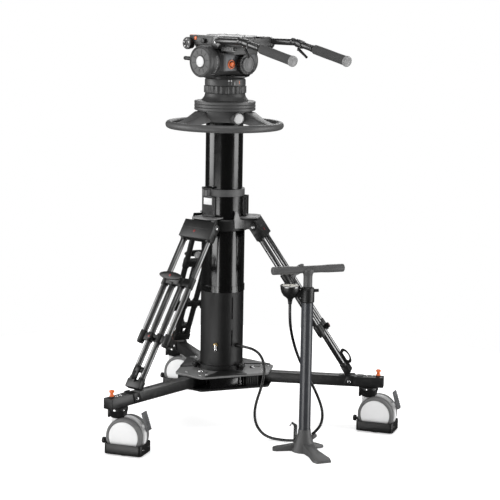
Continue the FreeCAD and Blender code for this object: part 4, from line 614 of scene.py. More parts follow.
def about_z(degrees):
    return Matrix.Rotation(math.radians(degrees), 4, "Z")


def around(radius, degrees):
    """Point at this distance from the axis, at this angle."""
    angle = math.radians(degrees)
    return radius * math.cos(angle), radius * math.sin(angle)


print("bench ready")

# %% [markdown]
# ## Casters
# A twin caster has two wheels on one axle, a white hood between them, and a black guard that pushes
# cables away. A tyre is a turned ring of grey rubber round a white disc, so each is one outline spun
# about the axle. The guard is a plate with a wall: its caps are inset, taken out and bridged.

# %% Caster sizes
ARM_AZIMUTHS = {"right": -8.9, "rear": 111.1, "left": 231.1}
SWIVEL_RADIUS = 552.0
TRAIL_AZIMUTH = -19.0
TRAIL = 35.0
WHEEL_R = 66.0
WHEEL_WIDTH = 27.0
WHEEL_GAP = 26.0
DISC_R = 54.5
HOOD_R = 69.5
HOOD_HALF = 9.5
GUARD_LOW, GUARD_HIGH = 5.0, 42.0
GUARD_HALF = 69.5
GUARD_SIDE = 48.0
SWIVEL_LOW, SWIVEL_HIGH = 150.6, 162.6
SWIVEL_R = 34.0
PEDAL_X, PEDAL_Z = 95.9, 104.05
PEDAL_RIBS = 8
print("caster trail", TRAIL, "wheel", 2 * WHEEL_R)

# %% Wheels
def caster_place(azimuth):
    x, y = around(SWIVEL_RADIUS, azimuth)
    return Matrix.Translation((x, y, 0)) @ about_z(TRAIL_AZIMUTH)


def make_wheels(name, place):
    """Two grey tyres and their two white discs."""
    tyres = Piece("caster_tyres_" + name, "wheels_" + name, "tyre_rubber", place)
    discs = Piece("caster_discs_" + name, "wheels_" + name, "caster_paint", place)
    shoulder = [(WHEEL_R - 5.5, 0.0), (WHEEL_R - 1.9, 1.2), (WHEEL_R - 0.4, 3.6), (WHEEL_R, 7.0)]
    far_shoulder = [(radius, WHEEL_WIDTH - across) for radius, across in reversed(shoulder)]
    tread = [(DISC_R - 3, 0.5), *shoulder, *far_shoulder, (DISC_R + 1.2, WHEEL_WIDTH - 0.4),
             (DISC_R + 0.2, WHEEL_WIDTH - 2.0), (DISC_R - 3, WHEEL_WIDTH - 2.0)]
    face = [(0, 1.0), (DISC_R, 1.0), (DISC_R, WHEEL_WIDTH - 2.4), (DISC_R - 1.4, WHEEL_WIDTH - 0.9),
            (DISC_R - 6, WHEEL_WIDTH - 0.2), (30.0, WHEEL_WIDTH + 0.2), (0, WHEEL_WIDTH + 0.3)]
    for side in (-1, 1):
        start = (TRAIL, side * WHEEL_GAP / 2, WHEEL_R)
        towards = (TRAIL, side * (WHEEL_GAP / 2 + WHEEL_WIDTH), WHEEL_R)
        tyres.turned(tread, start, towards, steps=72)
        discs.turned(face, start, towards, steps=72)
    tyres.done("caster_wheels_" + name)
    discs.done()


def make_hood(name, place):
    """White hood between the wheels, with its neck and the two bosses of the pedal's pin."""
    hood = Piece("caster_hood_" + name, "caster_" + name, "caster_paint", place)
    solid = bmesh.new()
    bmesh.ops.create_cone(solid, cap_ends=True, cap_tris=False, segments=72, radius1=HOOD_R,
                          radius2=HOOD_R, depth=2 * HOOD_HALF,
                          matrix=Matrix.Translation((TRAIL, 0, WHEEL_R)) @ ON_SIDE)
    everything = solid.verts[:] + solid.edges[:] + solid.faces[:]
    cut = bmesh.ops.bisect_plane(solid, geom=everything, plane_co=(0, 0, GUARD_HIGH - 8),
                                 plane_no=(0, 0, -1), clear_outer=True)
    bmesh.ops.edgeloop_fill(solid, edges=[e for e in cut["geom_cut"] if isinstance(e, bmesh.types.BMEdge)])
    hood.join(solid, 2.5)
    hood.block((-24, -HOOD_HALF, 84), (TRAIL + 12, HOOD_HALF, 131), 3.0)
    hood.rod((PEDAL_X, -HOOD_HALF, PEDAL_Z), (PEDAL_X, -5, PEDAL_Z), 7.5)
    hood.rod((PEDAL_X, HOOD_HALF, PEDAL_Z), (PEDAL_X, 5, PEDAL_Z), 7.5)
    hood.done("caster_frame_" + name)


def make_guard(name, place):
    """Black cable guard with its web, side lug and hand knob."""
    guard = Piece("cable_guard_" + name, "caster_" + name, "black_plastic", place)
    front, rear = TRAIL - GUARD_HALF, TRAIL + GUARD_HALF
    guard.plate(rectangle(front, rear, GUARD_SIDE), GUARD_LOW, GUARD_HIGH, corner=12.0, ease=1.2, wall=4.0)
    guard.block((front + 2, -8, GUARD_LOW + 12), (rear - 2, 8, GUARD_HIGH - 4), 1.5)
    guard.block((front, -24, GUARD_HIGH - 5), (front + 4, -8, GUARD_HIGH + 10), 1.5)
    guard.rod((TRAIL, -38, WHEEL_R), (TRAIL, 38, WHEEL_R), 6.0)
    knob_z = GUARD_HIGH + 2
    guard.turned([(0, 0), (5, 0), (5, 5), (10.5, 6.5), (11, 9), (11, 14.5), (9.5, 16.4), (6.5, 15.4),
                  (4.5, 12.5), (0, 12)], (front, -18, knob_z), (front - 1, -18, knob_z), steps=32)
    guard.done()
    screws = Piece("guard_screws_" + name, "caster_" + name, "steel", place)
    for side in (-1, 1):
        screws.turned([(0, 0), (3.4, 0), (3.2, 0.9), (2.0, 1.5), (0, 1.7)],
                      (rear - 0.4, side * 26, 24), (rear + 1, side * 26, 24), steps=20)
    screws.done()


def make_swivel(name, place):
    """Black swivel plate on its stem, the hanging tab, and the screws round the plate's edge."""
    swivel = Piece("caster_swivel_" + name, "caster_" + name, "black_plastic", place)
    swivel.rod((0, 0, SWIVEL_LOW), (0, 0, SWIVEL_HIGH), SWIVEL_R, ease=1.5)
    swivel.turned([(0, 126), (22, 126), (27, 129), (30, 136), (32, SWIVEL_LOW - 1),
                   (SWIVEL_R - 1, SWIVEL_LOW + 0.5), (0, SWIVEL_LOW + 0.5)], ease=0.6)
    swivel.rod((0, 0, SWIVEL_HIGH - 1), (0, 0, 194.6), 10.0)
    swivel.block((-SWIVEL_R - 2, -12, SWIVEL_LOW - 26), (-SWIVEL_R + 6, 12, SWIVEL_HIGH), 1.8)
    swivel.done()
    screws = Piece("swivel_screws_" + name, "caster_" + name, "steel", place)
    for turn in range(30, 360, 60):
        x, y = around(SWIVEL_R - 0.6, turn)
        x_out, y_out = around(SWIVEL_R + 1, turn)
        level = (SWIVEL_LOW + SWIVEL_HIGH) / 2
        screws.turned([(0, 0), (3.2, 0), (3.0, 0.8), (0, 1.1)], (x, y, level), (x_out, y_out, level),
                      steps=16)
    screws.done()


def make_pedal(name, place):
    """Ribbed grey brake pedal on its pin."""
    pedal = Piece("pedal_pad_" + name, "brake_pedal_" + name, "grey_plastic", place)
    side = [(PEDAL_X - 4, PEDAL_Z + 48), (PEDAL_X + 3, PEDAL_Z + 52), (PEDAL_X + 22, PEDAL_Z - 12),
            (PEDAL_X + 14, PEDAL_Z - 15)]
    pedal.plate(side, -17, 17, ease=1.6, place=ON_SIDE)
    root = [(PEDAL_X - 1, PEDAL_Z - 5.6), (PEDAL_X + 14, PEDAL_Z - 5.6), (PEDAL_X + 8, PEDAL_Z + 13),
            (PEDAL_X - 1, PEDAL_Z + 5.6)]
    pedal.plate(root, -4.4, 4.4, ease=1.0, place=ON_SIDE)
    pedal.rod((PEDAL_X, -4.4, PEDAL_Z), (PEDAL_X, 4.4, PEDAL_Z), 5.9, ease=0.5)
    top, bottom = Vector((PEDAL_X + 9, 0, PEDAL_Z + 33)), Vector((PEDAL_X + 22, 0, PEDAL_Z - 11))
    for index in range(PEDAL_RIBS):
        spot = top.lerp(bottom, index / (PEDAL_RIBS - 1))
        pedal.rod((spot.x, -15.5, spot.z), (spot.x, 15.5, spot.z), 1.7, ease=0.4, sides=12)
    pedal.done("brake_pedal_" + name)


for arm_name, arm_azimuth in ARM_AZIMUTHS.items():
    spot = caster_place(arm_azimuth)
    make_wheels(arm_name, spot)
    make_hood(arm_name, spot)
    make_guard(arm_name, spot)
    make_swivel(arm_name, spot)
    make_pedal(arm_name, spot)
print(3, "casters")

# %% [markdown]
# ## Arms
# Each arm is a square tube with softly rounded corners, which is what draws the thin light line along
# it. Its end cap, the bracket of the leg's foot, two bolts and the orange lock knob are pieces of
# their own, because they have other finishes.

# %% Arms
ARM_HALF = 20.0
ARM_LOW, ARM_HIGH = 163.0, 201.0
ARM_PIN_RADIUS = 117.0
ARM_ROOT = 143.0
ARM_TIP = 605.0
FOOT_RADIUS = 480.0
PULL_KNOB_X = 585.0


def dome(piece, start, towards, radius):
    """Low bolt head with a hex socket's rim."""
    piece.turned([(0, 0), (radius, 0), (radius, 0.25 * radius), (0.8 * radius, 0.55 * radius),
                  (0.45 * radius, 0.68 * radius), (0.38 * radius, 0.68 * radius),
                  (0.34 * radius, 0.4 * radius), (0, 0.4 * radius)], start, towards, steps=24)


def make_arm(name, place):
    body = "arm_" + name
    beam = Piece("arm_beam_" + name, body, "arm_paint", place)
    beam.block((ARM_ROOT, -ARM_HALF, ARM_LOW), (ARM_TIP - 3, ARM_HALF, ARM_HIGH), 2.6)
    beam.rod((ARM_PIN_RADIUS, 0, ARM_LOW + 0.4), (ARM_PIN_RADIUS, 0, ARM_HIGH - 0.4), ARM_HALF)
    beam.block((ARM_PIN_RADIUS, -ARM_HALF, ARM_LOW + 0.4), (ARM_ROOT + 4, ARM_HALF, ARM_HIGH - 0.4), 1.0)
    beam.done("arm_" + name)

    trim = Piece("arm_trim_" + name, body, "black_plastic", place)
    trim.block((ARM_TIP - 3.2, -ARM_HALF, ARM_LOW), (ARM_TIP, ARM_HALF, ARM_HIGH), 1.2)
    trim.block((FOOT_RADIUS - 40, -15, ARM_HIGH - 1), (FOOT_RADIUS - 22, 15, ARM_HIGH + 2.2), 0.8)
    trim.block((FOOT_RADIUS + 28, -15, ARM_HIGH - 1), (FOOT_RADIUS + 50, 15, ARM_HIGH + 2.2), 0.8)
    trim.turned([(0, ARM_HIGH - 1), (9, ARM_HIGH - 1), (9, ARM_HIGH + 2.5), (7.5, ARM_HIGH + 4),
                 (0, ARM_HIGH + 4)], (PULL_KNOB_X, 0, 0), (PULL_KNOB_X, 0, 1), steps=32)
    for side in (-1, 1):
        ear = [(FOOT_RADIUS - 22, ARM_LOW + 4), (FOOT_RADIUS + 12, ARM_LOW + 4),
               (FOOT_RADIUS + 20, ARM_HIGH + 3), (FOOT_RADIUS - 8, ARM_HIGH + 3)]
        near, far = sorted((-side * ARM_HALF, -side * (ARM_HALF + 5)))
        trim.plate(ear, near, far, corner=5.0, ease=1.0, place=ON_SIDE)
    trim.done()

    bolts = Piece("arm_bolts_" + name, body, "steel", place)
    for side in (-1, 1):
        face = side * (ARM_HALF + 4.8)
        dome(bolts, (FOOT_RADIUS, face, ARM_LOW + 18), (FOOT_RADIUS, 2 * face, ARM_LOW + 18), 7.0)
    for x in (FOOT_RADIUS + 62, FOOT_RADIUS + 82):
        dome(bolts, (x, 0, ARM_HIGH - 0.2), (x, 0, ARM_HIGH + 9), 5.0)
    bolts.done()

    knob = Piece("lock_knob_" + name, "pull_knob_" + name, "orange_plastic", place)
    low = ARM_HIGH + 4.4
    knob.turned([(0, low), (8, low), (8.2, low + 3.6), (5.4, low + 7.6), (5.8, low + 12.4),
                 (9, low + 15), (9, low + 20), (7.4, low + 22), (3, low + 22), (2.4, low + 20.8),
                 (0, low + 20.8)], (PULL_KNOB_X, 0, 0), (PULL_KNOB_X, 0, 1), ease=0.5, steps=40)
    knob.rod((PULL_KNOB_X, 0, ARM_HIGH - 14), (PULL_KNOB_X, 0, low), 4.0)
    knob.done("pull_knob_" + name)


for arm_name, arm_azimuth in ARM_AZIMUTHS.items():
    make_arm(arm_name, about_z(arm_azimuth))
print(3, "arms")

# %% [markdown]
# ## Hub
# The arms turn between two plates. Only the three lobes of the upper plate show, between black cover
# sheets. A curved slot in each lobe lets the arm's latch travel. The slot is cut right through with a
# boolean, because a painted one would look flat from above. Between two lobes the hub's side is a
# gloss sheet, with a row of ribs and a latch beside it.

# %% Hub
HUB_LOBE_RADIUS = 187.0
HUB_LOBE_HALF = 63.0
HUB_SIDE = 148.1
HUB_CEILING, HUB_HIGH = 201.4, 209.4
BARREL_R = 79.0
LATCH_RADIUS = 100.0
LATCH_OFFSET = -32.0
HUB_SCREWS = ((161.0, -12.0), (174.0, 14.0), (150.0, 19.0))
SLOT_RADIUS, SLOT_HALF = 34.0, 4.6
SLOT_STEP = 12.0
RIB_COUNT, RIB_PITCH, FIRST_RIB = 7, 7.0, 46.0


def cut_away(piece, cutter):
    """Cut one piece's shape out of another, for good."""
    modifier = piece.modifiers.new("cut", "BOOLEAN")
    modifier.operation = "DIFFERENCE"
    modifier.solver = "EXACT"
    modifier.object = cutter
    bpy.context.view_layer.update()
    graph = bpy.context.evaluated_depsgraph_get()
    mesh = bpy.data.meshes.new_from_object(piece.evaluated_get(graph))
    piece.modifiers.remove(modifier)
    old = piece.data
    piece.data = mesh
    bpy.data.meshes.remove(old)
    bpy.data.objects.remove(cutter)
    mesh.set_sharp_from_angle(angle=SMOOTH_ANGLE)


def hub_outline(inset=0.0):
    points = []
    for azimuth in ARM_AZIMUTHS.values():
        for side in (-1, 1):
            spot = about_z(azimuth) @ Vector((HUB_LOBE_RADIUS - inset, side * (HUB_LOBE_HALF - inset), 0))
            points.append((spot.x, spot.y))
    return points


top_plate = Piece("hub_top_plate", "stand", "hub_paint")
top_plate.plate(hub_outline(), HUB_CEILING, HUB_HIGH, corner=9.0, ease=1.6)
top_plate = top_plate.done("hub_upper_plate")
slots = Piece("slot_cutter", "stand", "black_plastic")
banana = [around(SLOT_RADIUS + SLOT_HALF, 50 + SLOT_STEP * step) for step in range(7)]
banana += [around(SLOT_RADIUS - SLOT_HALF, 122 - SLOT_STEP * step) for step in range(7)]
for azimuth in ARM_AZIMUTHS.values():
    lobe = about_z(azimuth) @ Matrix.Translation((ARM_PIN_RADIUS + 4, -8, 0))
    slots.plate(banana, HUB_CEILING - 3, HUB_HIGH + 3, ease=0, place=lobe)
cut_away(top_plate, slots.done())

covers = Piece("hub_covers", "stand", "black_plastic")
knobs = Piece("hub_latch_knobs", "stand", "black_plastic")
hub_bolts = Piece("hub_pin_bolts", "stand", "steel")
ribs = Piece("hub_latch_blocks", "stand", "black_plastic")
fascias = Piece("hub_fascias", "stand", "black_gloss")
latches = Piece("hub_latches", "stand", "satin_aluminium")
for azimuth in ARM_AZIMUTHS.values():
    side_place = about_z(azimuth + 60)
    cover = [(90, -48), (HUB_SIDE, -118), (HUB_SIDE, 47), (90, 22)]
    covers.plate(cover, HUB_HIGH - 0.5, HUB_HIGH + 3, corner=4.0, ease=0.9, place=side_place)
    x, y = around(ARM_PIN_RADIUS, azimuth)
    dome(hub_bolts, (x, y, HUB_HIGH - 0.2), (x, y, HUB_HIGH + 9), 10.0)
    for reach, turn in HUB_SCREWS:
        x, y = around(reach, azimuth + turn)
        dome(hub_bolts, (x, y, HUB_HIGH - 0.2), (x, y, HUB_HIGH + 9), 4.5)
    x, y = around(LATCH_RADIUS, azimuth + LATCH_OFFSET)
    low = HUB_HIGH + 3
    knobs.turned([(0, low), (7, low), (7, low + 7), (11.5, low + 9), (12, low + 12), (12, low + 20),
                  (9, low + 23), (4, low + 23), (3.4, low + 21.5), (0, low + 21.5)],
                 (x, y, 0), (x, y, 1), ease=0.4, steps=32)
    fascias.block((HUB_SIDE - 4, -94, ARM_LOW + 0.5), (HUB_SIDE - 0.8, 11, ARM_HIGH - 0.3), 0.8, side_place)
    for index in range(RIB_COUNT):
        across = FIRST_RIB + RIB_PITCH * index
        ribs.block((HUB_SIDE - 8, across - 2.2, ARM_LOW + 1), (HUB_SIDE - 1.5, across + 2.2, ARM_HIGH - 1),
                   1.2, side_place)
    latches.block((HUB_SIDE - 13, 36, ARM_LOW + 3), (HUB_SIDE - 9, 38.6, ARM_HIGH - 6), 0.5, side_place)
    spot = side_place @ Vector((HUB_SIDE - 14, 24, 0))
    latches.rod((spot.x, spot.y, ARM_LOW + 2), (spot.x, spot.y, ARM_HIGH - 3), 3.2)
    latches.turned([(0, 0), (7, 0), (7, 3), (3.5, 4), (3.5, 9), (7, 10), (7, 14), (0, 15)],
                   (spot.x, spot.y, ARM_LOW + 8), (spot.x, spot.y, ARM_HIGH), steps=24)
for maker in (covers, knobs, ribs, fascias, latches):
    maker.done()
hub_bolts.done("hub_bolts")
print("hub plates and latches")

# %% [markdown]
# ## Column trim
# The tubes stay as they are, but what is fixed to them is small and catches light: the release valve is
# a hexagonal brass nut with a bright drop-shaped lever, and the housing's front pad has a pale bare badge.

# %% Column trim
VALVE_AZIMUTH, VALVE_LEVEL = 256.0, 307.0
PAD_R = 89.0

valve_place = about_z(VALVE_AZIMUTH) @ Matrix.Translation((BARREL_R, 0, VALVE_LEVEL))
valve_nut = Piece("valve_nut", "release_valve", "brass", valve_place)
valve_nut.rod((-5, 0, 0), (9, 0, 0), 4.6)
valve_nut.rod((0.8, 0, 0), (7, 0, 0), 8.5, ease=0.6, sides=6)
valve_nut.done("release_valve")
valve_drop = Piece("valve_lever", "release_valve", "steel", valve_place)
valve_drop.rod((9, 0, 2), (11, 0, -18), 3.4, 5.8, ease=0.8)
valve_drop.ball((11, 0, -18), 6.2, (0.7, 1.0, 1.0))
valve_drop.rod((7, 0, 0), (12.5, 0, 0), 4.2)
valve_drop.done()

pad_badge = Piece("pad_badge", "stand", "badge_white", about_z(ARM_AZIMUTHS["left"]))
pad_badge.block((PAD_R - 0.6, -19, 824), (PAD_R + 0.8, 19, 848), 0.5)
pad_badge.done()
print("valve and badge")

# %% [markdown]
# ## Crown
# The crown is a dark casting round the tube with three wide lobes, one for each leg's pin. Only the tops
# of the lobes are bare and pale, so each top is a thin plate of its own, let into the casting, with
# the tube's circle cut out of it. The side of a lobe is drawn once as an outline and pulled across
# its width. A small bracket with a red mark stands on the ring beside the right leg.

# %% Crown
CROWN_LOW, CROWN_TOP = 728.0, 779.0
LOBE_HALF = 42.0
PIVOT_RADIUS, PIVOT_LEVEL = 121.0, 745.0
CROWN_RING_R = 92.0
BRACKET_AZIMUTH = -47.0

crown = Piece("crown_casting", "stand", "black_plastic")
crown.turned([(79.2, CROWN_LOW), (89, CROWN_LOW), (CROWN_RING_R, CROWN_LOW + 3),
              (CROWN_RING_R, CROWN_TOP - 12), (89, CROWN_TOP - 8.4), (79.2, CROWN_TOP - 8.4)], steps=96)
crown_tops = Piece("crown_lobe_tops", "stand", "hub_paint")
lobe_side = [(80.5, CROWN_LOW + 4), (PIVOT_RADIUS + 5, CROWN_LOW + 8), (PIVOT_RADIUS + 14, PIVOT_LEVEL - 7),
             (PIVOT_RADIUS + 8, PIVOT_LEVEL + 12), (PIVOT_RADIUS - 8, CROWN_TOP - 1.6),
             (80.5, CROWN_TOP - 1.6)]
lobe_top = [(60, -52), (PIVOT_RADIUS - 8, -52), (PIVOT_RADIUS + 13, -36), (PIVOT_RADIUS + 15, 0),
            (PIVOT_RADIUS + 13, 36), (PIVOT_RADIUS - 8, 52), (60, 52)]
for azimuth in ARM_AZIMUTHS.values():
    turn = about_z(azimuth)
    crown.plate(lobe_side, -LOBE_HALF, LOBE_HALF, ease=2.0, place=turn @ ON_SIDE)
    crown_tops.plate(lobe_top, CROWN_TOP - 4.4, CROWN_TOP, corner=5.0, ease=0.8, place=turn)
crown.done("leg_crown")
crown_tops = crown_tops.done()
tube_cutter = Piece("tube_cutter", "stand", "black_plastic")
tube_cutter.rod((0, 0, CROWN_TOP - 12), (0, 0, CROWN_TOP + 12), BARREL_R + 0.3, ease=0, sides=96)
cut_away(crown_tops, tube_cutter.done())

bracket_place = about_z(BRACKET_AZIMUTH) @ Matrix.Translation((CROWN_RING_R, 0, 0)) @ about_z(90) @ ON_SIDE
bracket = Piece("crown_bracket", "stand", "badge_grey", bracket_place)
bracket.plate([(-26, CROWN_LOW + 12), (22, CROWN_LOW + 8), (30, CROWN_TOP - 12), (0, CROWN_TOP - 9),
               (-14, CROWN_TOP + 22), (-19, CROWN_TOP + 22), (-26, CROWN_TOP - 6)], -6, 0.5, corner=3.0,
              ease=1.0)
bracket.done()
bracket_mark = Piece("crown_bracket_mark", "stand", "mark_red", bracket_place)
bracket_mark.rod((-14, CROWN_LOW + 22, -6.8), (-14, CROWN_LOW + 22, -5.5), 5.0, ease=0.3)
bracket_mark.done()
print("crown")

# %% [markdown]
# ## Legs
# A leg is two pairs of bright tubes, one sliding between the other. Black castings hold them: the yoke on
# the crown's pin, a cross block with the clamp's drum, a lower lock and a foot with its hook. Each leg
# is modelled upright, from its pin downwards, and one matrix leans it out, so the three are alike.

# %% Leg frame
LEG_TILT = -33.8
LEG_LENGTH = 645.1
LEG_TUBE_R = 10.5
OUTER_HALF, INNER_HALF = 58.0, 21.0
LEG_EDGE = 71.5
CROSS_AT = -222.0
LOCK_LOW, LOCK_HIGH = -465.0, -425.0
LEG_MARK_R = 5.0
OVAL_POINTS = 40
OVAL_LENGTH, OVAL_WIDTH = 52.0, 15.0


def leg_place(azimuth):
    lean = Matrix.Rotation(math.radians(LEG_TILT), 4, "Y")
    return about_z(azimuth) @ Matrix.Translation((PIVOT_RADIUS, 0, PIVOT_LEVEL)) @ lean


def ribbed_knob(piece, start, towards, radius, ribs=14):
    """Small clamp knob: a waisted core and ribs round it."""
    length = (Vector(towards) - Vector(start)).length
    piece.turned([(0, 0), (0.7 * radius, 0), (0.7 * radius, 0.3 * length), (0.9 * radius, 0.4 * length),
                  (0.9 * radius, 0.94 * length), (0.75 * radius, length), (0, length)],
                 start, towards, ease=0.3, steps=32)
    turn = line_frame(start, towards)
    for index in range(ribs):
        x, y = around(0.9 * radius, 360 * index / ribs)
        low, high = turn @ Vector((x, y, 0.42 * length)), turn @ Vector((x, y, 0.93 * length))
        piece.rod(low, high, 0.1 * radius, ease=0, sides=8)


def make_leg_frame(name, place):
    body = "leg_" + name
    tubes = Piece("leg_outer_tubes_" + name, body, "satin_aluminium", place)
    yoke = Piece("leg_yoke_" + name, body, "black_plastic", place)
    bolts = Piece("leg_pin_heads_" + name, body, "steel", place)
    for side in (-1, 1):
        tubes.rod((0, side * OUTER_HALF, -46), (0, side * OUTER_HALF, LOCK_LOW - 4), LEG_TUBE_R)
        cheek = sorted((side * 42.8, side * LEG_EDGE))
        yoke.rod((0, cheek[0], 0), (0, cheek[1], 0), 15.0, ease=1.6)
        yoke.block((-14.6, cheek[0], -50), (17.4, cheek[1], -2), 2.0)
        yoke.rod((0, side * OUTER_HALF, -48), (0, side * OUTER_HALF, -58), 13.4, 12.0)
        dome(bolts, (0, side * (LEG_EDGE - 0.2), 0), (0, side * (LEG_EDGE + 9), 0), 6.4)
        yoke.rod((0, side * OUTER_HALF, LOCK_LOW), (0, side * OUTER_HALF, LOCK_HIGH), 13.4, ease=1.4)
        yoke.rod((0, side * OUTER_HALF, LOCK_LOW - 6), (0, side * OUTER_HALF, LOCK_LOW), 12.0, ease=1.0)
        yoke.rod((0, side * INNER_HALF, LOCK_LOW + 3), (0, side * INNER_HALF, LOCK_HIGH - 3), 13.4,
                 ease=1.2)
    yoke.rod((0, -42.5, 0), (0, 42.5, 0), 8.0)
    yoke.block((-14.6, -LEG_EDGE, -52), (13.4, LEG_EDGE, -22), 2.0)
    yoke.block((16.8, -LEG_EDGE, -52), (20.4, LEG_EDGE, 17), 1.4)
    yoke.block((18.8, -LEG_EDGE + 3, -14), (21.2, LEG_EDGE - 3, -11.5), 0.6)
    yoke.block((-5.5, -OUTER_HALF, LOCK_LOW + 7), (5.5, OUTER_HALF, LOCK_HIGH - 7), 1.6)
    knob_z = (LOCK_LOW + LOCK_HIGH) / 2 - 6
    ribbed_knob(yoke, (8, 0, knob_z), (32.5, 0, knob_z), 10.0)
    yoke.done()
    tubes.done("leg_frame_" + name)
    bolts.done()
    mark = Piece("leg_frame_marks_" + name, body, "mark_red", place)
    mark.rod((20, -8, -27), (21.2, -8, -27), LEG_MARK_R, ease=0.3)
    mark.rod((32, 0, knob_z), (33.2, 0, knob_z), 0.8 * LEG_MARK_R, ease=0.3)
    mark.done()


def make_leg_stage(name, place):
    body = "leg_stage_" + name
    tubes = Piece("leg_inner_tubes_" + name, body, "satin_aluminium", place)
    block = Piece("leg_cross_block_" + name, body, "black_plastic", place)
    drum = Piece("leg_clamp_drum_" + name, body, "badge_grey", place)
    foot_low = -LEG_LENGTH + 5
    for side in (-1, 1):
        tubes.rod((0, side * INNER_HALF, CROSS_AT - 14), (0, side * INNER_HALF, foot_low + 6), LEG_TUBE_R)
        block.rod((0, side * OUTER_HALF, CROSS_AT - 20.5), (0, side * OUTER_HALF, CROSS_AT + 20.5), 13.4,
                  ease=1.6)
        block.rod((0, side * INNER_HALF, CROSS_AT - 20.5), (0, side * INNER_HALF, CROSS_AT + 12), 13.2,
                  ease=1.4)
        block.rod((0, side * INNER_HALF, foot_low + 28), (0, side * INNER_HALF, foot_low + 42), 12.4,
                  ease=1.0)
    block.block((-10, -OUTER_HALF, CROSS_AT - 15), (10, OUTER_HALF, CROSS_AT + 15), 2.4)
    block.block((-12.3, -33, foot_low), (12.3, 33, foot_low + 32), 3.0)
    block.block((8, -5, foot_low + 22), (17, 5, foot_low + 82), 2.0)
    block.hoop((23, 0, foot_low + 57), 14.0, 3.6, (0, 1, 0), (0.8, 1.75, 1.0), steps=48)
    block.block((-8, -INNER_HALF, foot_low + 62), (12, INNER_HALF, foot_low + 80), 2.0)
    block.done()
    tubes.done("leg_stage_" + name)
    drum.turned([(0, 8), (12, 8), (12.4, 22), (14.6, 34), (15, 43), (13.6, 45.6), (0, 45.6)],
                (0, 0, CROSS_AT), (1, 0, CROSS_AT), ease=0.6, steps=40)
    drum.done()

    handle = Piece("leg_clamp_handle_" + name, "leg_lever_" + name, "black_plastic", place)
    oval = []
    for step in range(OVAL_POINTS):
        angle = 2 * math.pi * step / OVAL_POINTS
        oval.append((OVAL_LENGTH * math.cos(angle), OVAL_WIDTH * math.sin(angle)))
    face_on = Matrix.Rotation(math.radians(120), 4, Vector((1, 1, 1)))
    handle.plate(oval, 0.4, 9.0, ease=2.6, place=Matrix.Translation((46, 0, CROSS_AT)) @ face_on)
    handle.done("leg_lever_" + name)
    mark = Piece("leg_clamp_mark_" + name, "leg_lever_" + name, "mark_red", place)
    mark.rod((54.6, 0, CROSS_AT), (55.8, 0, CROSS_AT), LEG_MARK_R, ease=0.3)
    mark.done()


for arm_name, arm_azimuth in ARM_AZIMUTHS.items():
    make_leg_frame(arm_name, leg_place(arm_azimuth))
    make_leg_stage(arm_name, leg_place(arm_azimuth))
print(3, "legs")

# %% [markdown]
# ## Turntable and steering ring
# The ring turns the head. It is a hoop of thick round bar on three wide spokes, which fall from a skirt
# under the grooved disc. A spoke starts as the outline of its side, pulled across; then its
# points are drawn in towards the hoop, because the real spoke is narrower there.

# %% Turntable and steering ring
DISC_LOW, DISC_TOP = 1162.0, 1196.0
DISC_EDGE_R = 111.0
DISC_BANDS = 3
RING_LEVEL, RING_R, RING_BAR = 1108.5, 201.6, 13.5
SKIRT_LOW, SKIRT_R = 1121.0, 100.0
SPOKE_AZIMUTHS = (-28.0, 92.0, 212.0)
SPOKE_HALF = 33.0
SPOKE_TAPER = 0.3
BOSS_AZIMUTH, BOSS_LEVEL = 297.0, 1139.0

disc_outline = [(68.4, DISC_LOW + 0.3), (DISC_EDGE_R - 2, DISC_LOW + 0.3)]
band_height = (DISC_TOP - DISC_LOW) / DISC_BANDS
for band in range(DISC_BANDS):
    low = DISC_LOW + band * band_height
    disc_outline += [(DISC_EDGE_R, low + 1.8), (DISC_EDGE_R, low + band_height - 1.8),
                     (DISC_EDGE_R - 2.2, low + band_height - 0.4)]
disc_outline += [(DISC_EDGE_R - 6, DISC_TOP), (68.4, DISC_TOP)]
turntable = Piece("turntable_disc", "lift", "ring_paint")
turntable.turned(disc_outline, steps=120)
turntable.done("turntable")

ring = Piece("steering_hoop", "lift", "ring_paint")
ring.hoop((0, 0, RING_LEVEL), RING_R, RING_BAR, (0, 0, 1), steps=144)
ring.turned([(68.4, SKIRT_LOW), (77, SKIRT_LOW), (80, SKIRT_LOW + 1.5), (SKIRT_R - 2, SKIRT_LOW + 23),
             (SKIRT_R, SKIRT_LOW + 27), (SKIRT_R, DISC_LOW), (68.4, DISC_LOW)], steps=96)
spoke_side = [(74, SKIRT_LOW + 1), (178, RING_LEVEL - 9), (RING_R, RING_LEVEL - 9),
              (RING_R, RING_LEVEL + 9), (186, RING_LEVEL + 11), (150, RING_LEVEL + 24),
              (SKIRT_R + 8, DISC_LOW - 4), (74, DISC_LOW - 4)]


def join_spoke(piece, place):
    solid, _ = pulled([(x, -SPOKE_HALF, z) for x, z in spoke_side], (0, 2 * SPOKE_HALF, 0))
    for point in solid.verts:
        reach = (point.co.x - SKIRT_R) / (RING_R - SKIRT_R)
        point.co.y *= 1 - SPOKE_TAPER * min(max(reach, 0.0), 1.0)
    piece.join(solid, 3.5, place)


for azimuth in SPOKE_AZIMUTHS:
    join_spoke(ring, about_z(azimuth))
boss_place = about_z(BOSS_AZIMUTH) @ Matrix.Translation((0, 0, BOSS_LEVEL))
ring.rod(boss_place @ Vector((80, 0, 0)), boss_place @ Vector((116, 0, -1)), 21.0, ease=1.2)
ring.done("steering_ring")
boss_ring = Piece("boss_ring", "lift", "satin_aluminium", boss_place)
boss_ring.turned([(17.5, 115), (21.6, 115), (22, 116), (22, 120.6), (20.8, 122), (18.2, 121.4),
                  (17.5, 119.5)], steps=48)
boss_ring.shape.transform(FACE_ACROSS)
boss_ring.done()
boss_badge = Piece("boss_badge", "lift", "badge_white", boss_place)
boss_badge.turned([(0, 115), (17.7, 115), (17.7, 118.4), (13, 119.3), (0, 119.8)], steps=48)
boss_badge.shape.transform(FACE_ACROSS)
boss_badge.done()
print("steering ring")

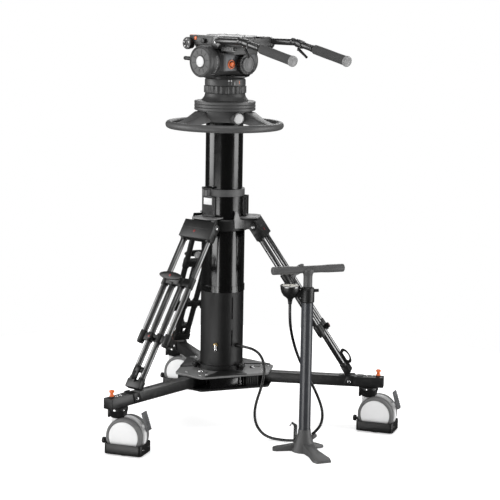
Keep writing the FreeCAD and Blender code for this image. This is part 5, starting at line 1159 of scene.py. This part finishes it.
# %% [markdown]
# ## Pan stage
# The head stands on a flared base. Above it are a ring with soft flutes, which sets the pan's drag, and
# the ring that carries the yoke. The flutes are one outline whose radius follows a cosine. The short
# marks and the plain figures are raised a little, as engraved and filled ones look from a step away.

# %% Pan stage
HEAD_YAW = -45.0
HEAD_PLACE = about_z(HEAD_YAW)
BASE_TOP, DRAG_TOP, PAN_TOP = 1224.0, 1251.0, 1277.0
TILT_X, TILT_LEVEL = 8.0, 1339.0
DRAG_FLUTES = 26
PAN_R = 74.0
YOKE_R = 52.0
YOKE_FIGURES = "0123"
FIRST_FIGURE, FIGURE_STEP = 16.0, 19.0


def figure(piece, text, size, place):
    """Plain figure, raised on a face: text made a mesh, then placed."""
    curve = bpy.data.curves.new("figure", "FONT")
    curve.body = text
    curve.size = size
    curve.extrude = 0.25
    curve.align_x = "CENTER"
    curve.align_y = "CENTER"
    holder = bpy.data.objects.new("figure", curve)
    mesh = bpy.data.meshes.new_from_object(holder)
    solid = bmesh.new()
    solid.from_mesh(mesh)
    bmesh.ops.remove_doubles(solid, verts=solid.verts, dist=MERGE_GAP)
    piece.join(solid, 0.0, place)
    bpy.data.objects.remove(holder)
    bpy.data.curves.remove(curve)
    bpy.data.meshes.remove(mesh)


def wavy(radius, depth, waves, per_wave=8):
    """Closed outline whose radius follows a cosine."""
    points = []
    for step in range(waves * per_wave):
        angle = 360 * step / (waves * per_wave)
        reach = radius + depth * math.cos(math.radians(angle * waves))
        points.append(around(reach, angle))
    return points


head_base = Piece("head_base_flare", "lift", "head_paint")
head_base.turned([(30, DISC_TOP + 0.2), (84.4, DISC_TOP + 0.2), (85, DISC_TOP + 3), (82, DISC_TOP + 7),
                  (77.5, DISC_TOP + 12), (74.5, DISC_TOP + 18), (73, BASE_TOP - 3), (72, BASE_TOP - 0.6),
                  (30, BASE_TOP - 0.6)], steps=96)
head_base.done("head_base")

drag = Piece("drag_ring_flutes", "pan_drag_ring", "head_paint")
drag.plate(wavy(75.4, 1.5, DRAG_FLUTES), BASE_TOP + 0.6, DRAG_TOP - 1, ease=1.2)
drag.rod((0, 0, DRAG_TOP - 2), (0, 0, DRAG_TOP - 0.2), 73.0, ease=0.5, sides=96)
drag.done("pan_drag_ring")

pan = Piece("pan_yoke", "pan", "head_paint", HEAD_PLACE)
pan.turned([(30, DRAG_TOP + 0.4), (72.6, DRAG_TOP + 0.4), (PAN_R, DRAG_TOP + 1.8), (PAN_R, PAN_TOP - 6),
            (72, PAN_TOP - 1.6), (68, PAN_TOP), (30, PAN_TOP)], steps=96)
yoke_front = [(-62, PAN_TOP - 2), (62, PAN_TOP - 2), (107.6, 1292), (107.6, 1322), (86.6, 1322),
              (86.6, 1284), (-82.6, 1284), (-82.6, 1322), (-113.6, 1322), (-113.6, 1292)]
pan.plate(yoke_front, -34, 34, ease=2.0,
          place=about_z(90) @ ON_SIDE)
for near, far in ((-113.6, -82.4), (86.4, 107.6)):
    pan.rod((TILT_X, near, TILT_LEVEL), (TILT_X, far, TILT_LEVEL), YOKE_R, ease=2.0, sides=72)
pan.turned([(0, 0), (40, 0), (40, 1.2), (22, 1.6), (20, 3.4), (0, 3.4)], (TILT_X, 107.4, TILT_LEVEL),
           (TILT_X, 120, TILT_LEVEL), ease=0.3)
pan.done("pan_body")

scale = Piece("yoke_figures", "pan", "badge_grey", HEAD_PLACE)
for index, text in enumerate(YOKE_FIGURES):
    tip = FIRST_FIGURE - FIGURE_STEP * index
    x, z = around(YOKE_R + 0.1, tip)
    spot = Vector((TILT_X + x, -97, TILT_LEVEL + z))
    face = about_z(90) @ Matrix.Rotation(math.pi / 2 - math.radians(tip), 4, "X")
    figure(scale, text, 19.0, Matrix.Translation(spot) @ face)
scale.done()

marks = Piece("pan_marks_white", "pan", "badge_white")
grey_marks = Piece("pan_marks_grey", "pan", "badge_grey")
orange_marks = Piece("pan_marks_orange", "pan", "orange_plastic")
for azimuth in (-79, -72):
    marks.block((PAN_R - 1, -1.5, PAN_TOP - 9), (PAN_R + 0.5, 1.5, PAN_TOP - 3), 0.3, about_z(azimuth))
for azimuth, half in ((-79, 0.7), (-72, 0.7), (-62, 2.4)):
    grey_marks.block((PAN_R - 1, -half, DRAG_TOP + 4), (PAN_R + 0.4, half, PAN_TOP - 10), 0.2,
                     about_z(azimuth))
figure_place = about_z(-46) @ Matrix.Translation((PAN_R + 0.1, 0, (DRAG_TOP + PAN_TOP) / 2))
figure_place = figure_place @ about_z(90) @ ON_SIDE
figure(orange_marks, "3", 14.0, figure_place)
for maker in (marks, grey_marks, orange_marks):
    maker.done()
print("pan stage")

# %% [markdown]
# ## Tilt stage
# The drum turns between the cheeks of the yoke and carries everything the operator touches: the
# blue-grey panel with its lit button in an orange ring, the big fluted knob and, on the cheek, the dial
# with a pale bare badge. The orange ring stands proud of a black disc, which is painted shade for the
# gap round the button and is what makes the ring look bright.

# %% Dial and brake
DIAL_OUT, DIAL_IN = -135.0, -114.4
DIAL_R = 56.0
DIAL_LINES = 10
BRAKE_Y, BRAKE_LEVEL = -100.0, 1345.0

dial_start, dial_end = (TILT_X, DIAL_IN, TILT_LEVEL), (TILT_X, DIAL_OUT, TILT_LEVEL)
dial = Piece("tilt_dial", "tilt_drag_dial", "head_paint", HEAD_PLACE)
dial.turned([(0, 0), (51, 0), (DIAL_R - 1, 1.4), (DIAL_R, 4), (DIAL_R, 15.5), (DIAL_R - 1.6, 19),
             (DIAL_R - 5, 20.5), (DIAL_R - 8, 19.4), (DIAL_R - 9.4, 18), (24, 17.4), (22, 19.2),
             (20.4, 19.6), (0, 19.6)], dial_start, dial_end, steps=96)
dial_turn = line_frame(dial_start, dial_end)
dial_lines = Piece("dial_lines", "tilt_drag_dial", "black_print_and_painted_gap_shade", HEAD_PLACE)
for line in range(DIAL_LINES):
    spin = dial_turn @ about_z(360 * line / DIAL_LINES + 9)
    dial_lines.block((27, -0.8, 17), (43, 0.8, 18.3), 0.2, spin)
dial.done("tilt_drag_dial")
dial_lines.done()
dial_badge = Piece("dial_badge", "tilt_drag_dial", "badge_white", HEAD_PLACE)
dial_badge.turned([(0, 19), (18.6, 19), (19, 19.8), (18, 20.4), (0, 20.6)], dial_start, dial_end)
dial_badge.done()

brake = Piece("brake_lever", "tilt_brake_lever", "black_plastic", HEAD_PLACE)
brake.rod((-36, BRAKE_Y, BRAKE_LEVEL), (-54, BRAKE_Y, BRAKE_LEVEL), 9.6, ease=1.4)
brake.rod((-50, BRAKE_Y, BRAKE_LEVEL), (-94, BRAKE_Y - 9, BRAKE_LEVEL + 2), 8.4, 6.6, ease=1.2)
brake.ball((-95, BRAKE_Y - 9.2, BRAKE_LEVEL + 2), 7.2)
brake.done("tilt_brake_lever")
print("dial", 2 * DIAL_R, "mm")

# %% Drum, panel and knob
PANEL_X = 72.0
PANEL_LOW, PANEL_TOP = 1305.0, 1370.0
BUTTON_Y, KNOB_LEVEL = -43.0, 1330.0
CB_Y = 15.0
CB_FLUTES = 24

tilt = Piece("tilt_drum", "tilt", "head_paint", HEAD_PLACE)
tilt.turned([(0, 0), (51, 0), (54, 2.4), (54, 164.2), (51, 166.6), (0, 166.6)],
            (TILT_X, -81.3, TILT_LEVEL), (TILT_X, 85, TILT_LEVEL), steps=96)
tilt.block((10, -78, PANEL_LOW), (PANEL_X, 82, PANEL_TOP), 3.0)
web = [(-104, 1396.5), (50, 1396.5), (50, 1345), (-30, 1345), (-52, 1372), (-98, 1386)]
tilt.plate(web, -58, 58, ease=2.0, place=ON_SIDE)
tilt.block((20, -60, 1365), (104, 60, 1397), 3.0)
tilt.done("tilt_body")

panel = Piece("operator_panel", "tilt", "panel_blue_grey", HEAD_PLACE)
panel.block((PANEL_X - 1, -70, PANEL_LOW + 3), (PANEL_X + 0.9, 76, PANEL_TOP - 3), 0.7)
panel.done()
# This black disc is painted shade: it stands for the shadow in the gap between the button and its orange
# ring.
gap = Piece("button_gap_painted_shade", "tilt", "black_print_and_painted_gap_shade", HEAD_PLACE)
gap.turned([(0, 0), (13.6, 0), (13.6, 1.2), (0, 1.2)], (PANEL_X + 0.6, BUTTON_Y, KNOB_LEVEL),
           (PANEL_X + 5, BUTTON_Y, KNOB_LEVEL), steps=32)
gap.done()
bezel = Piece("button_ring", "tilt", "orange_plastic", HEAD_PLACE)
bezel.turned([(12.4, 0), (16, 0), (16, 3.4), (15.2, 4.2), (13.2, 4.2), (12.4, 3.4)],
             (PANEL_X + 0.6, BUTTON_Y, KNOB_LEVEL), (PANEL_X + 6, BUTTON_Y, KNOB_LEVEL), steps=48)
bezel.done()
button = Piece("light_button_cap", "light_button", "orange_plastic", HEAD_PLACE)
button.turned([(0, 0), (8.6, 0), (8.6, 9.4), (7.8, 10.8), (5.6, 10.6), (4.4, 9.8), (0, 9.4)],
              (PANEL_X - 3, BUTTON_Y, KNOB_LEVEL), (PANEL_X + 9, BUTTON_Y, KNOB_LEVEL), steps=32)
button.done("light_button")

cb_place = HEAD_PLACE @ Matrix.Translation((PANEL_X, CB_Y, KNOB_LEVEL)) @ FACE_ACROSS
knob = Piece("counterbalance_rim", "counterbalance_knob", "black_plastic", cb_place)
knob.rod((0, 0, 1.2), (0, 0, 8), 33.0, ease=1.0, sides=72)
knob.plate(wavy(36.4, 1.2, CB_FLUTES), 6, 25, ease=1.6)
knob.rod((0, 0, -8), (0, 0, 2), 7.6)
knob.done("counterbalance_knob")
knob_face = Piece("counterbalance_face", "counterbalance_knob", "knob_grey", cb_place)
knob_face.turned([(0, 24), (27, 24), (27, 29.6), (25.4, 31.4), (22, 31.8), (20.4, 30.6), (7, 30.2),
                  (6, 31), (0, 31)], steps=64)
for index in range(CB_FLUTES // 2):
    x, y = around(30.4, 30 * index)
    knob_face.rod((x, y, 24.4), (x, y, 26), 1.8, ease=0.3, sides=16)
knob_face.done()
print("operator's side")

# %% [markdown]
# ## Platform and camera plate
# The platform is a long low casting with two rails, and the camera plate slides between them. Its bare
# metal edges draw the thin light line along the top of the head. On the near side are the spare
# rosette with its screws, the orange catch and a ribbed cylinder.

# %% Platform and camera plate
PLATFORM_LOW, PLATFORM_TOP, PLATFORM_HALF = 1395.0, 1429.0, 68.0
PLATFORM_FRONT, PLATFORM_REAR = -121.0, 154.0
SEAT_LEVEL, PLATE_TOP = 1423.0, 1433.0
PLATE_FRONT, PLATE_REAR, PLATE_HALF = -70.0, 128.0, 32.0
SPARE_X, SPARE_LEVEL = -116.0, 1399.0
BALANCE_Y, BALANCE_LEVEL = -63.0, 1385.0
BALANCE_RIBS, BALANCE_PITCH = 8, 8.0
BAR_PIVOTS = {"left": 45.0, "right": 133.0}
BAR_PIVOT_LEVEL, BAR_LEVEL = 1407.0, 1413.0
ROSETTE_R = 22.0

platform = Piece("platform_casting", "tilt", "head_paint", HEAD_PLACE)
platform.plate(rectangle(PLATFORM_FRONT, PLATFORM_REAR, PLATFORM_HALF), PLATFORM_LOW, SEAT_LEVEL,
               corner=6.0, ease=2.0)
for side in (-1, 1):
    near, far = sorted((side * 33.0, side * (PLATFORM_HALF - 0.4)))
    platform.block((PLATFORM_FRONT + 1, near, SEAT_LEVEL - 3), (PLATFORM_REAR - 1, far, PLATFORM_TOP), 1.4)
    platform.block((PLATFORM_FRONT + 14, side * PLATFORM_HALF - 1, PLATFORM_LOW + 9),
                   (PLATFORM_FRONT + 66, side * PLATFORM_HALF + 1, PLATFORM_TOP - 9), 0.9)
for side, name in ((-1, "left"), (1, "right")):
    platform.rod((BAR_PIVOTS[name], side * (PLATFORM_HALF - 4), BAR_PIVOT_LEVEL),
                 (BAR_PIVOTS[name], side * 76.0, BAR_PIVOT_LEVEL), ROSETTE_R, ease=1.2)
platform.done("platform")

spare = Piece("spare_rosette", "tilt", "black_plastic", HEAD_PLACE)
spare.turned([(0, 0), (20, 0), (20, 9), (21.6, 11), (ROSETTE_R, 13), (ROSETTE_R, 21), (20.6, 23.4),
              (18, 24), (8, 23), (6, 24), (0, 24)], (SPARE_X, -PLATFORM_HALF + 6, SPARE_LEVEL),
             (SPARE_X, -86, SPARE_LEVEL))
spare.done()
end_block = Piece("platform_end_block", "tilt", "ring_paint", HEAD_PLACE)
end_block.block((PLATFORM_REAR - 2, -14, PLATFORM_LOW + 3),
                (PLATFORM_REAR + 1, PLATFORM_HALF - 2, SEAT_LEVEL - 1), 1.0)
end_block.done()
fixings = Piece("platform_screws", "tilt", "steel", HEAD_PLACE)
for turn in range(5):
    x, z = around(13.0, 72 * turn + 18)
    dome(fixings, (SPARE_X + x, -85.4, SPARE_LEVEL + z), (SPARE_X + x, -90, SPARE_LEVEL + z), 3.8)
for x, y in ((-96, -52), (-96, 52), (140, -52), (140, 52), (20, -52)):
    dome(fixings, (x, y, PLATFORM_TOP - 0.2), (x, y, PLATFORM_TOP + 5), 3.4)
fixings.done()
catch = Piece("plate_catch", "tilt", "orange_plastic", HEAD_PLACE)
catch.block((-90, -PLATFORM_HALF - 3, 1412), (-80, -PLATFORM_HALF + 1, 1424), 1.0)
catch.block((-118, -66, PLATFORM_TOP - 1), (-108, -40, PLATFORM_TOP + 0.8), 0.4)
catch.done()
# The ribbed cylinder's black core is painted shade: it darkens the gaps between the pale ribs.
core = Piece("balance_core_painted_shade", "tilt", "black_plastic", HEAD_PLACE)
core.rod((44, BALANCE_Y, BALANCE_LEVEL), (116, BALANCE_Y, BALANCE_LEVEL), 6.4)
core.done()
coils = Piece("balance_ribs", "tilt", "badge_grey", HEAD_PLACE)
for rib in range(BALANCE_RIBS):
    x = 49 + BALANCE_PITCH * rib
    coils.rod((x, BALANCE_Y, BALANCE_LEVEL), (x + 4.6, BALANCE_Y, BALANCE_LEVEL), 9.4, ease=0.9, sides=32)
coils.done()

plate = Piece("camera_plate_body", "camera_plate", "satin_aluminium", HEAD_PLACE)
plate.plate(rectangle(PLATE_FRONT, PLATE_REAR, PLATE_HALF), SEAT_LEVEL + 0.1, PLATE_TOP - 0.6, corner=4.0,
            ease=0.8)
plate.done("camera_plate")
grips = Piece("camera_plate_pads", "camera_plate", "black_plastic", HEAD_PLACE)
screws = Piece("camera_screws", "camera_plate", "steel", HEAD_PLACE)
for side in (-1, 1):
    grips.block((PLATE_FRONT + 8, side * 22 - 7, PLATE_TOP - 1.6),
                (PLATE_REAR - 8, side * 22 + 7, PLATE_TOP), 0.5)
    dome(screws, (29 + 30 * side, 0, PLATE_TOP - 1), (29 + 30 * side, 0, PLATE_TOP + 6), 7.0)
grips.done()
screws.done()

lock = Piece("plate_lock_cap", "plate_lock_knob", "black_plastic", HEAD_PLACE)
ribbed_knob(lock, (-40, -PLATFORM_HALF - 0.6, 1410), (-40, -PLATFORM_HALF - 11, 1410), 10.0, 18)
lock.done("plate_lock_knob")
print("platform and plate")

# %% [markdown]
# ## Pan bars
# Each bar leaves a toothed rosette and bends down. In it slides a thinner tube with the foam grip, which
# a clamp holds. All the places along it come from one function, measured from the bend along the
# drooping half.

# %% Pan bars
BAR_HALF, BAR_INNER = 88.0, 131.0
BAR_DROP = math.radians(13)
BAR_R, GRIP_R = 11.5, 16.5
CLAMP_AT = 20.0
SLEEVE_END = 86.0
TUBE_START, TUBE_R = 16.0, 9.0
GRIP_START, GRIP_LENGTH = 92.0, 154.0
ROSETTE_TEETH = 24


def make_bar(name, side):
    pivot = BAR_PIVOTS[name]
    y = side * BAR_HALF

    def at(distance, below=0.0):
        x = pivot + BAR_INNER + distance * math.cos(BAR_DROP) - below * math.sin(BAR_DROP)
        return Vector((x, y, BAR_LEVEL - distance * math.sin(BAR_DROP) - below * math.cos(BAR_DROP)))

    bar = Piece("bar_arm_" + name, "bar_" + name, "bar_metal", HEAD_PLACE)
    bar.rod((pivot, side * 76.6, BAR_PIVOT_LEVEL), (pivot, side * 95.6, BAR_PIVOT_LEVEL), ROSETTE_R - 0.4,
            ease=1.4)
    for tooth in range(ROSETTE_TEETH):
        x, z = around(ROSETTE_R - 0.6, 360 * tooth / ROSETTE_TEETH)
        bar.rod((pivot + x, side * 77, BAR_PIVOT_LEVEL + z), (pivot + x, side * 84, BAR_PIVOT_LEVEL + z), 0.8,
                ease=0, sides=8)
    bar.rod((pivot, y, BAR_LEVEL), at(0), BAR_R, ease=1.0)
    bar.ball(at(0), BAR_R + 0.1)
    bar.rod(at(0), at(SLEEVE_END), BAR_R, ease=1.4)
    bar.rod(at(CLAMP_AT - 16), at(CLAMP_AT + 16), 14.4, ease=1.6)
    bar.rod(at(-18), at(-9), 12.6, ease=0.8)
    bar.rod(at(SLEEVE_END - 8), at(SLEEVE_END + 0.2), 12.6, ease=1.0)
    bar.done("pan_bar_" + name)
    caps = Piece("bar_fixings_" + name, "bar_" + name, "steel", HEAD_PLACE)
    dome(caps, (pivot, side * 95.4, BAR_PIVOT_LEVEL), (pivot, side * 105, BAR_PIVOT_LEVEL), 6.0)
    for along in (CLAMP_AT - 9, CLAMP_AT + 9):
        spot = at(along, 12.0)
        caps.ball((spot.x, spot.y - 6, spot.z), 2.6)
    caps.done()

    grip = Piece("grip_sleeve_" + name, "bar_grip_" + name, "grip_foam", HEAD_PLACE)
    start, end = at(GRIP_START), at(GRIP_START + GRIP_LENGTH)
    grip.turned([(0, 0), (13, 0), (15.6, 1.4), (GRIP_R, 4.6), (GRIP_R + 0.4, 60), (GRIP_R, 110),
                 (GRIP_R + 0.5, GRIP_LENGTH - 2), (GRIP_R, GRIP_LENGTH), (0, GRIP_LENGTH)], start, end,
                steps=64)
    grip.done("bar_grip_" + name)
    stalk = Piece("grip_tube_" + name, "bar_grip_" + name, "bar_metal", HEAD_PLACE)
    stalk.rod(at(TUBE_START), at(GRIP_START + 2), TUBE_R)
    stalk.done()
    cap = Piece("grip_cap_" + name, "bar_grip_" + name, "badge_grey", HEAD_PLACE)
    cap.turned([(0, 0), (18, 0), (19, 1.2), (19, 9), (17.6, 12), (14, 13.2), (12.6, 12.2), (0, 12.2)],
               at(242.8), at(256), steps=48)
    cap.done()

    lever = Piece("bar_clamp_" + name, "bar_lever_" + name, "black_plastic", HEAD_PLACE)
    root = at(CLAMP_AT, 20)
    tip = Vector((root.x + 26, y + side * 12, root.z - 26))
    lever.rod(at(CLAMP_AT, 14.8), at(CLAMP_AT, 25), 6.0)
    lever.rod(root, tip, 5.4, 4.2, ease=0.8)
    lever.ball(tip, 4.9)
    lever.done("bar_lever_" + name)


make_bar("left", -1)
make_bar("right", 1)
print(2, "pan bars")

# %% [markdown]
# ## Floor pump
# The pump's base is one smooth casting: a cone that runs out into three feet. Each foot is a flat plate
# whose height falls to its toe, joined to the turned cone. The gauge is a dark bowl with a cream dial
# under a bright rim, and its needle and short lines are one piece. The handle has its steel rod, which
# shows when it is pulled up.

# %% Pump
PUMP_PLACE = Matrix.Translation((301.0, -372.0, 0))
PUMP_FEET = ((180.0, 111.0, 22.0), (-67.0, 167.0, 35.0), (44.0, 82.0, 24.0))
FOOT_RISE, TOE = 34.0, 9.0
FOOT_DRAFT = 0.86
CONE_TOP = 78.0
PUMP_BARREL_R = 20.5
CAP_LOW, CAP_TOP = 531.0, 584.0
HANDLE_LEVEL, HANDLE_HALF, HANDLE_YAW = 646.0, 133.0, 20.0
GAUGE_OUT, GAUGE_R, GAUGE_TOP = 60.0, 35.0, 590.0
GAUGE_LINES, GAUGE_START, GAUGE_STEP = 13, 225.0, 22.5
ROD_LOW, ROD_R = 112.0, 6.0
HOOK_X, HOOK_Y, HOOK_LEVEL = -31.0, 32.0, 20.0

base = Piece("pump_base", "stand", "cast_grey", PUMP_PLACE)
base.turned([(0, 0), (45, 0), (46, 2), (44, 8), (39, 16), (33, 30), (27.5, 46), (23.6, 62),
             (22, CONE_TOP - 2), (21, CONE_TOP), (0, CONE_TOP)], steps=64)


def join_foot(piece, azimuth, length, half):
    """Foot that widens and thins towards its toe."""
    outline = [(0, -0.62 * half), (0.5 * length, -0.62 * half), (0.86 * length, -half),
               (length, -0.8 * half), (length, 0.8 * half), (0.86 * length, half),
               (0.5 * length, 0.62 * half), (0, 0.62 * half)]
    solid, top = pulled([(x, y, 0) for x, y in outline], (0, 0, FOOT_RISE))
    for point in top:
        point.co.z = FOOT_RISE + (TOE - FOOT_RISE) * min(1.0, point.co.x / length)
        point.co.y *= FOOT_DRAFT
    piece.join(solid, 3.4, about_z(azimuth))


for azimuth, length, half in PUMP_FEET:
    join_foot(base, azimuth, length, half)
base.block((HOOK_X - 3, HOOK_Y - 16, 4), (HOOK_X + 12, HOOK_Y - 0.6, HOOK_LEVEL + 8), 2.0)
base.rod((-13.6, 42.4, 27.5), (-7, 38, 25), 8.0)
base.rod((40, 22, 52), (24, 11, 42), 9.0)
base.done("pump_body")

barrel = Piece("pump_barrel", "stand", "pump_blue", PUMP_PLACE)
barrel.turned([(0, CONE_TOP - 6), (PUMP_BARREL_R, CONE_TOP - 6), (PUMP_BARREL_R, CAP_LOW + 4),
               (0, CAP_LOW + 4)], steps=56)
barrel.done()
cap = Piece("pump_cap", "stand", "black_plastic", PUMP_PLACE)
cap.turned([(0, CAP_LOW), (22.6, CAP_LOW), (23.6, CAP_LOW + 1.4), (24, CAP_LOW + 4), (24, CAP_TOP - 10),
            (22.4, CAP_TOP - 3), (19, CAP_TOP), (0, CAP_TOP)], steps=56)
cap.rod((18, 0, CAP_TOP - 12), (38, -4, CAP_TOP - 10), 5.6, ease=1.2)
cap.block((-GAUGE_OUT + 16, -8.6, CAP_LOW + 16), (-20, 8.6, CAP_TOP - 9), 2.4)
cap.done()

gauge_place = PUMP_PLACE @ Matrix.Translation((-GAUGE_OUT, 0, 0))
bowl = Piece("gauge_bowl", "stand", "black_plastic", gauge_place)
bowl.turned([(0, 523), (6.6, 523), (7.4, 532), (9, 540), (13, 545), (24, 553), (31.4, 566), (34, 578),
             (34.4, GAUGE_TOP - 4), (0, GAUGE_TOP - 4)], steps=64)
bowl.done()
rim = Piece("gauge_rim", "stand", "satin_aluminium", gauge_place)
rim.turned([(31.4, GAUGE_TOP - 7), (34.6, GAUGE_TOP - 7), (GAUGE_R, GAUGE_TOP - 5.6),
            (GAUGE_R, GAUGE_TOP - 1.4), (33.8, GAUGE_TOP), (31.8, GAUGE_TOP), (31.4, GAUGE_TOP - 1)],
           steps=64)
rim.done()
face = Piece("gauge_face", "stand", "dial_cream", gauge_place)
face.turned([(0, GAUGE_TOP - 4.4), (31.6, GAUGE_TOP - 4.4), (31.6, GAUGE_TOP - 3), (0, GAUGE_TOP - 3)])
face.done()
needle = Piece("gauge_lines", "stand", "black_print_and_painted_gap_shade", gauge_place)
for line in range(GAUGE_LINES):
    turn = GAUGE_START - GAUGE_STEP * line
    long = 5.5 if line % 3 == 0 else 3.2
    needle.block((29.5 - long, -0.45, GAUGE_TOP - 3.1), (29.5, 0.45, GAUGE_TOP - 2.7), 0.1, about_z(turn))
    if line % 3 == 0:
        x, y = around(19.0, turn)
        figure(needle, str(line // 3), 7.0, Matrix.Translation((x, y, GAUGE_TOP - 2.9)))
needle.block((-6, -0.8, GAUGE_TOP - 2.6), (22, 0.8, GAUGE_TOP - 2.0), 0.2, about_z(GAUGE_START))
needle.rod((0, 0, GAUGE_TOP - 3), (0, 0, GAUGE_TOP - 1.4), 2.6, ease=0.4, sides=24)
needle.done()

handle = Piece("pump_handle_bar", "pump_handle", "ring_paint", PUMP_PLACE)
handle.turned([(0, CAP_TOP + 0.6), (14.4, CAP_TOP + 0.6), (15.6, CAP_TOP + 2), (15.6, 622), (17, 630),
               (21, 638), (21, 646), (12, 654), (0, 656)], steps=56)
yaw = about_z(HANDLE_YAW)
left_end = yaw @ Vector((-HANDLE_HALF, 0, HANDLE_LEVEL))
right_end = yaw @ Vector((HANDLE_HALF, 0, HANDLE_LEVEL))
handle.turned([(0, 0), (11, 0), (13.4, 2), (14, 6), (14, 60), (12.6, 84), (12.6, 182), (14, 206), (14, 260),
               (13.4, 264), (11, 266), (0, 266)], left_end, right_end, steps=48)
handle.rod((-22, -8, 654), (-22, -8, 666), 6.6, ease=1.4)
handle.done("pump_handle")
rod = Piece("pump_rod", "pump_handle", "steel", PUMP_PLACE)
rod.rod((0, 0, ROD_LOW), (0, 0, CAP_TOP + 2), ROD_R, sides=32)
rod.done()

hook = Piece("pump_hook_plate", "pump_hook", "steel", PUMP_PLACE)
hook_upright = Matrix.Translation((HOOK_X, HOOK_Y, HOOK_LEVEL)) @ ON_SIDE
hook_outline = [(-6.4, -7), (6.4, -7), (7, 54), (7, 62), (-12, 74), (-22, 58), (-18, 57), (-12.6, 66),
                (-6.6, 60)]
hook.plate(hook_outline, -4.4, -0.6, corner=1.2, ease=0.5, place=hook_upright)
hook.done("pump_hook")
print("pump")

# %% [markdown]
# ## Size of the dressed stand
# The dressed stand has to fill the same box as the bare one.

# %% Print the dressed box
low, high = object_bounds()
print("dressed box", [round(v, 3) for v in (*low, *high)])
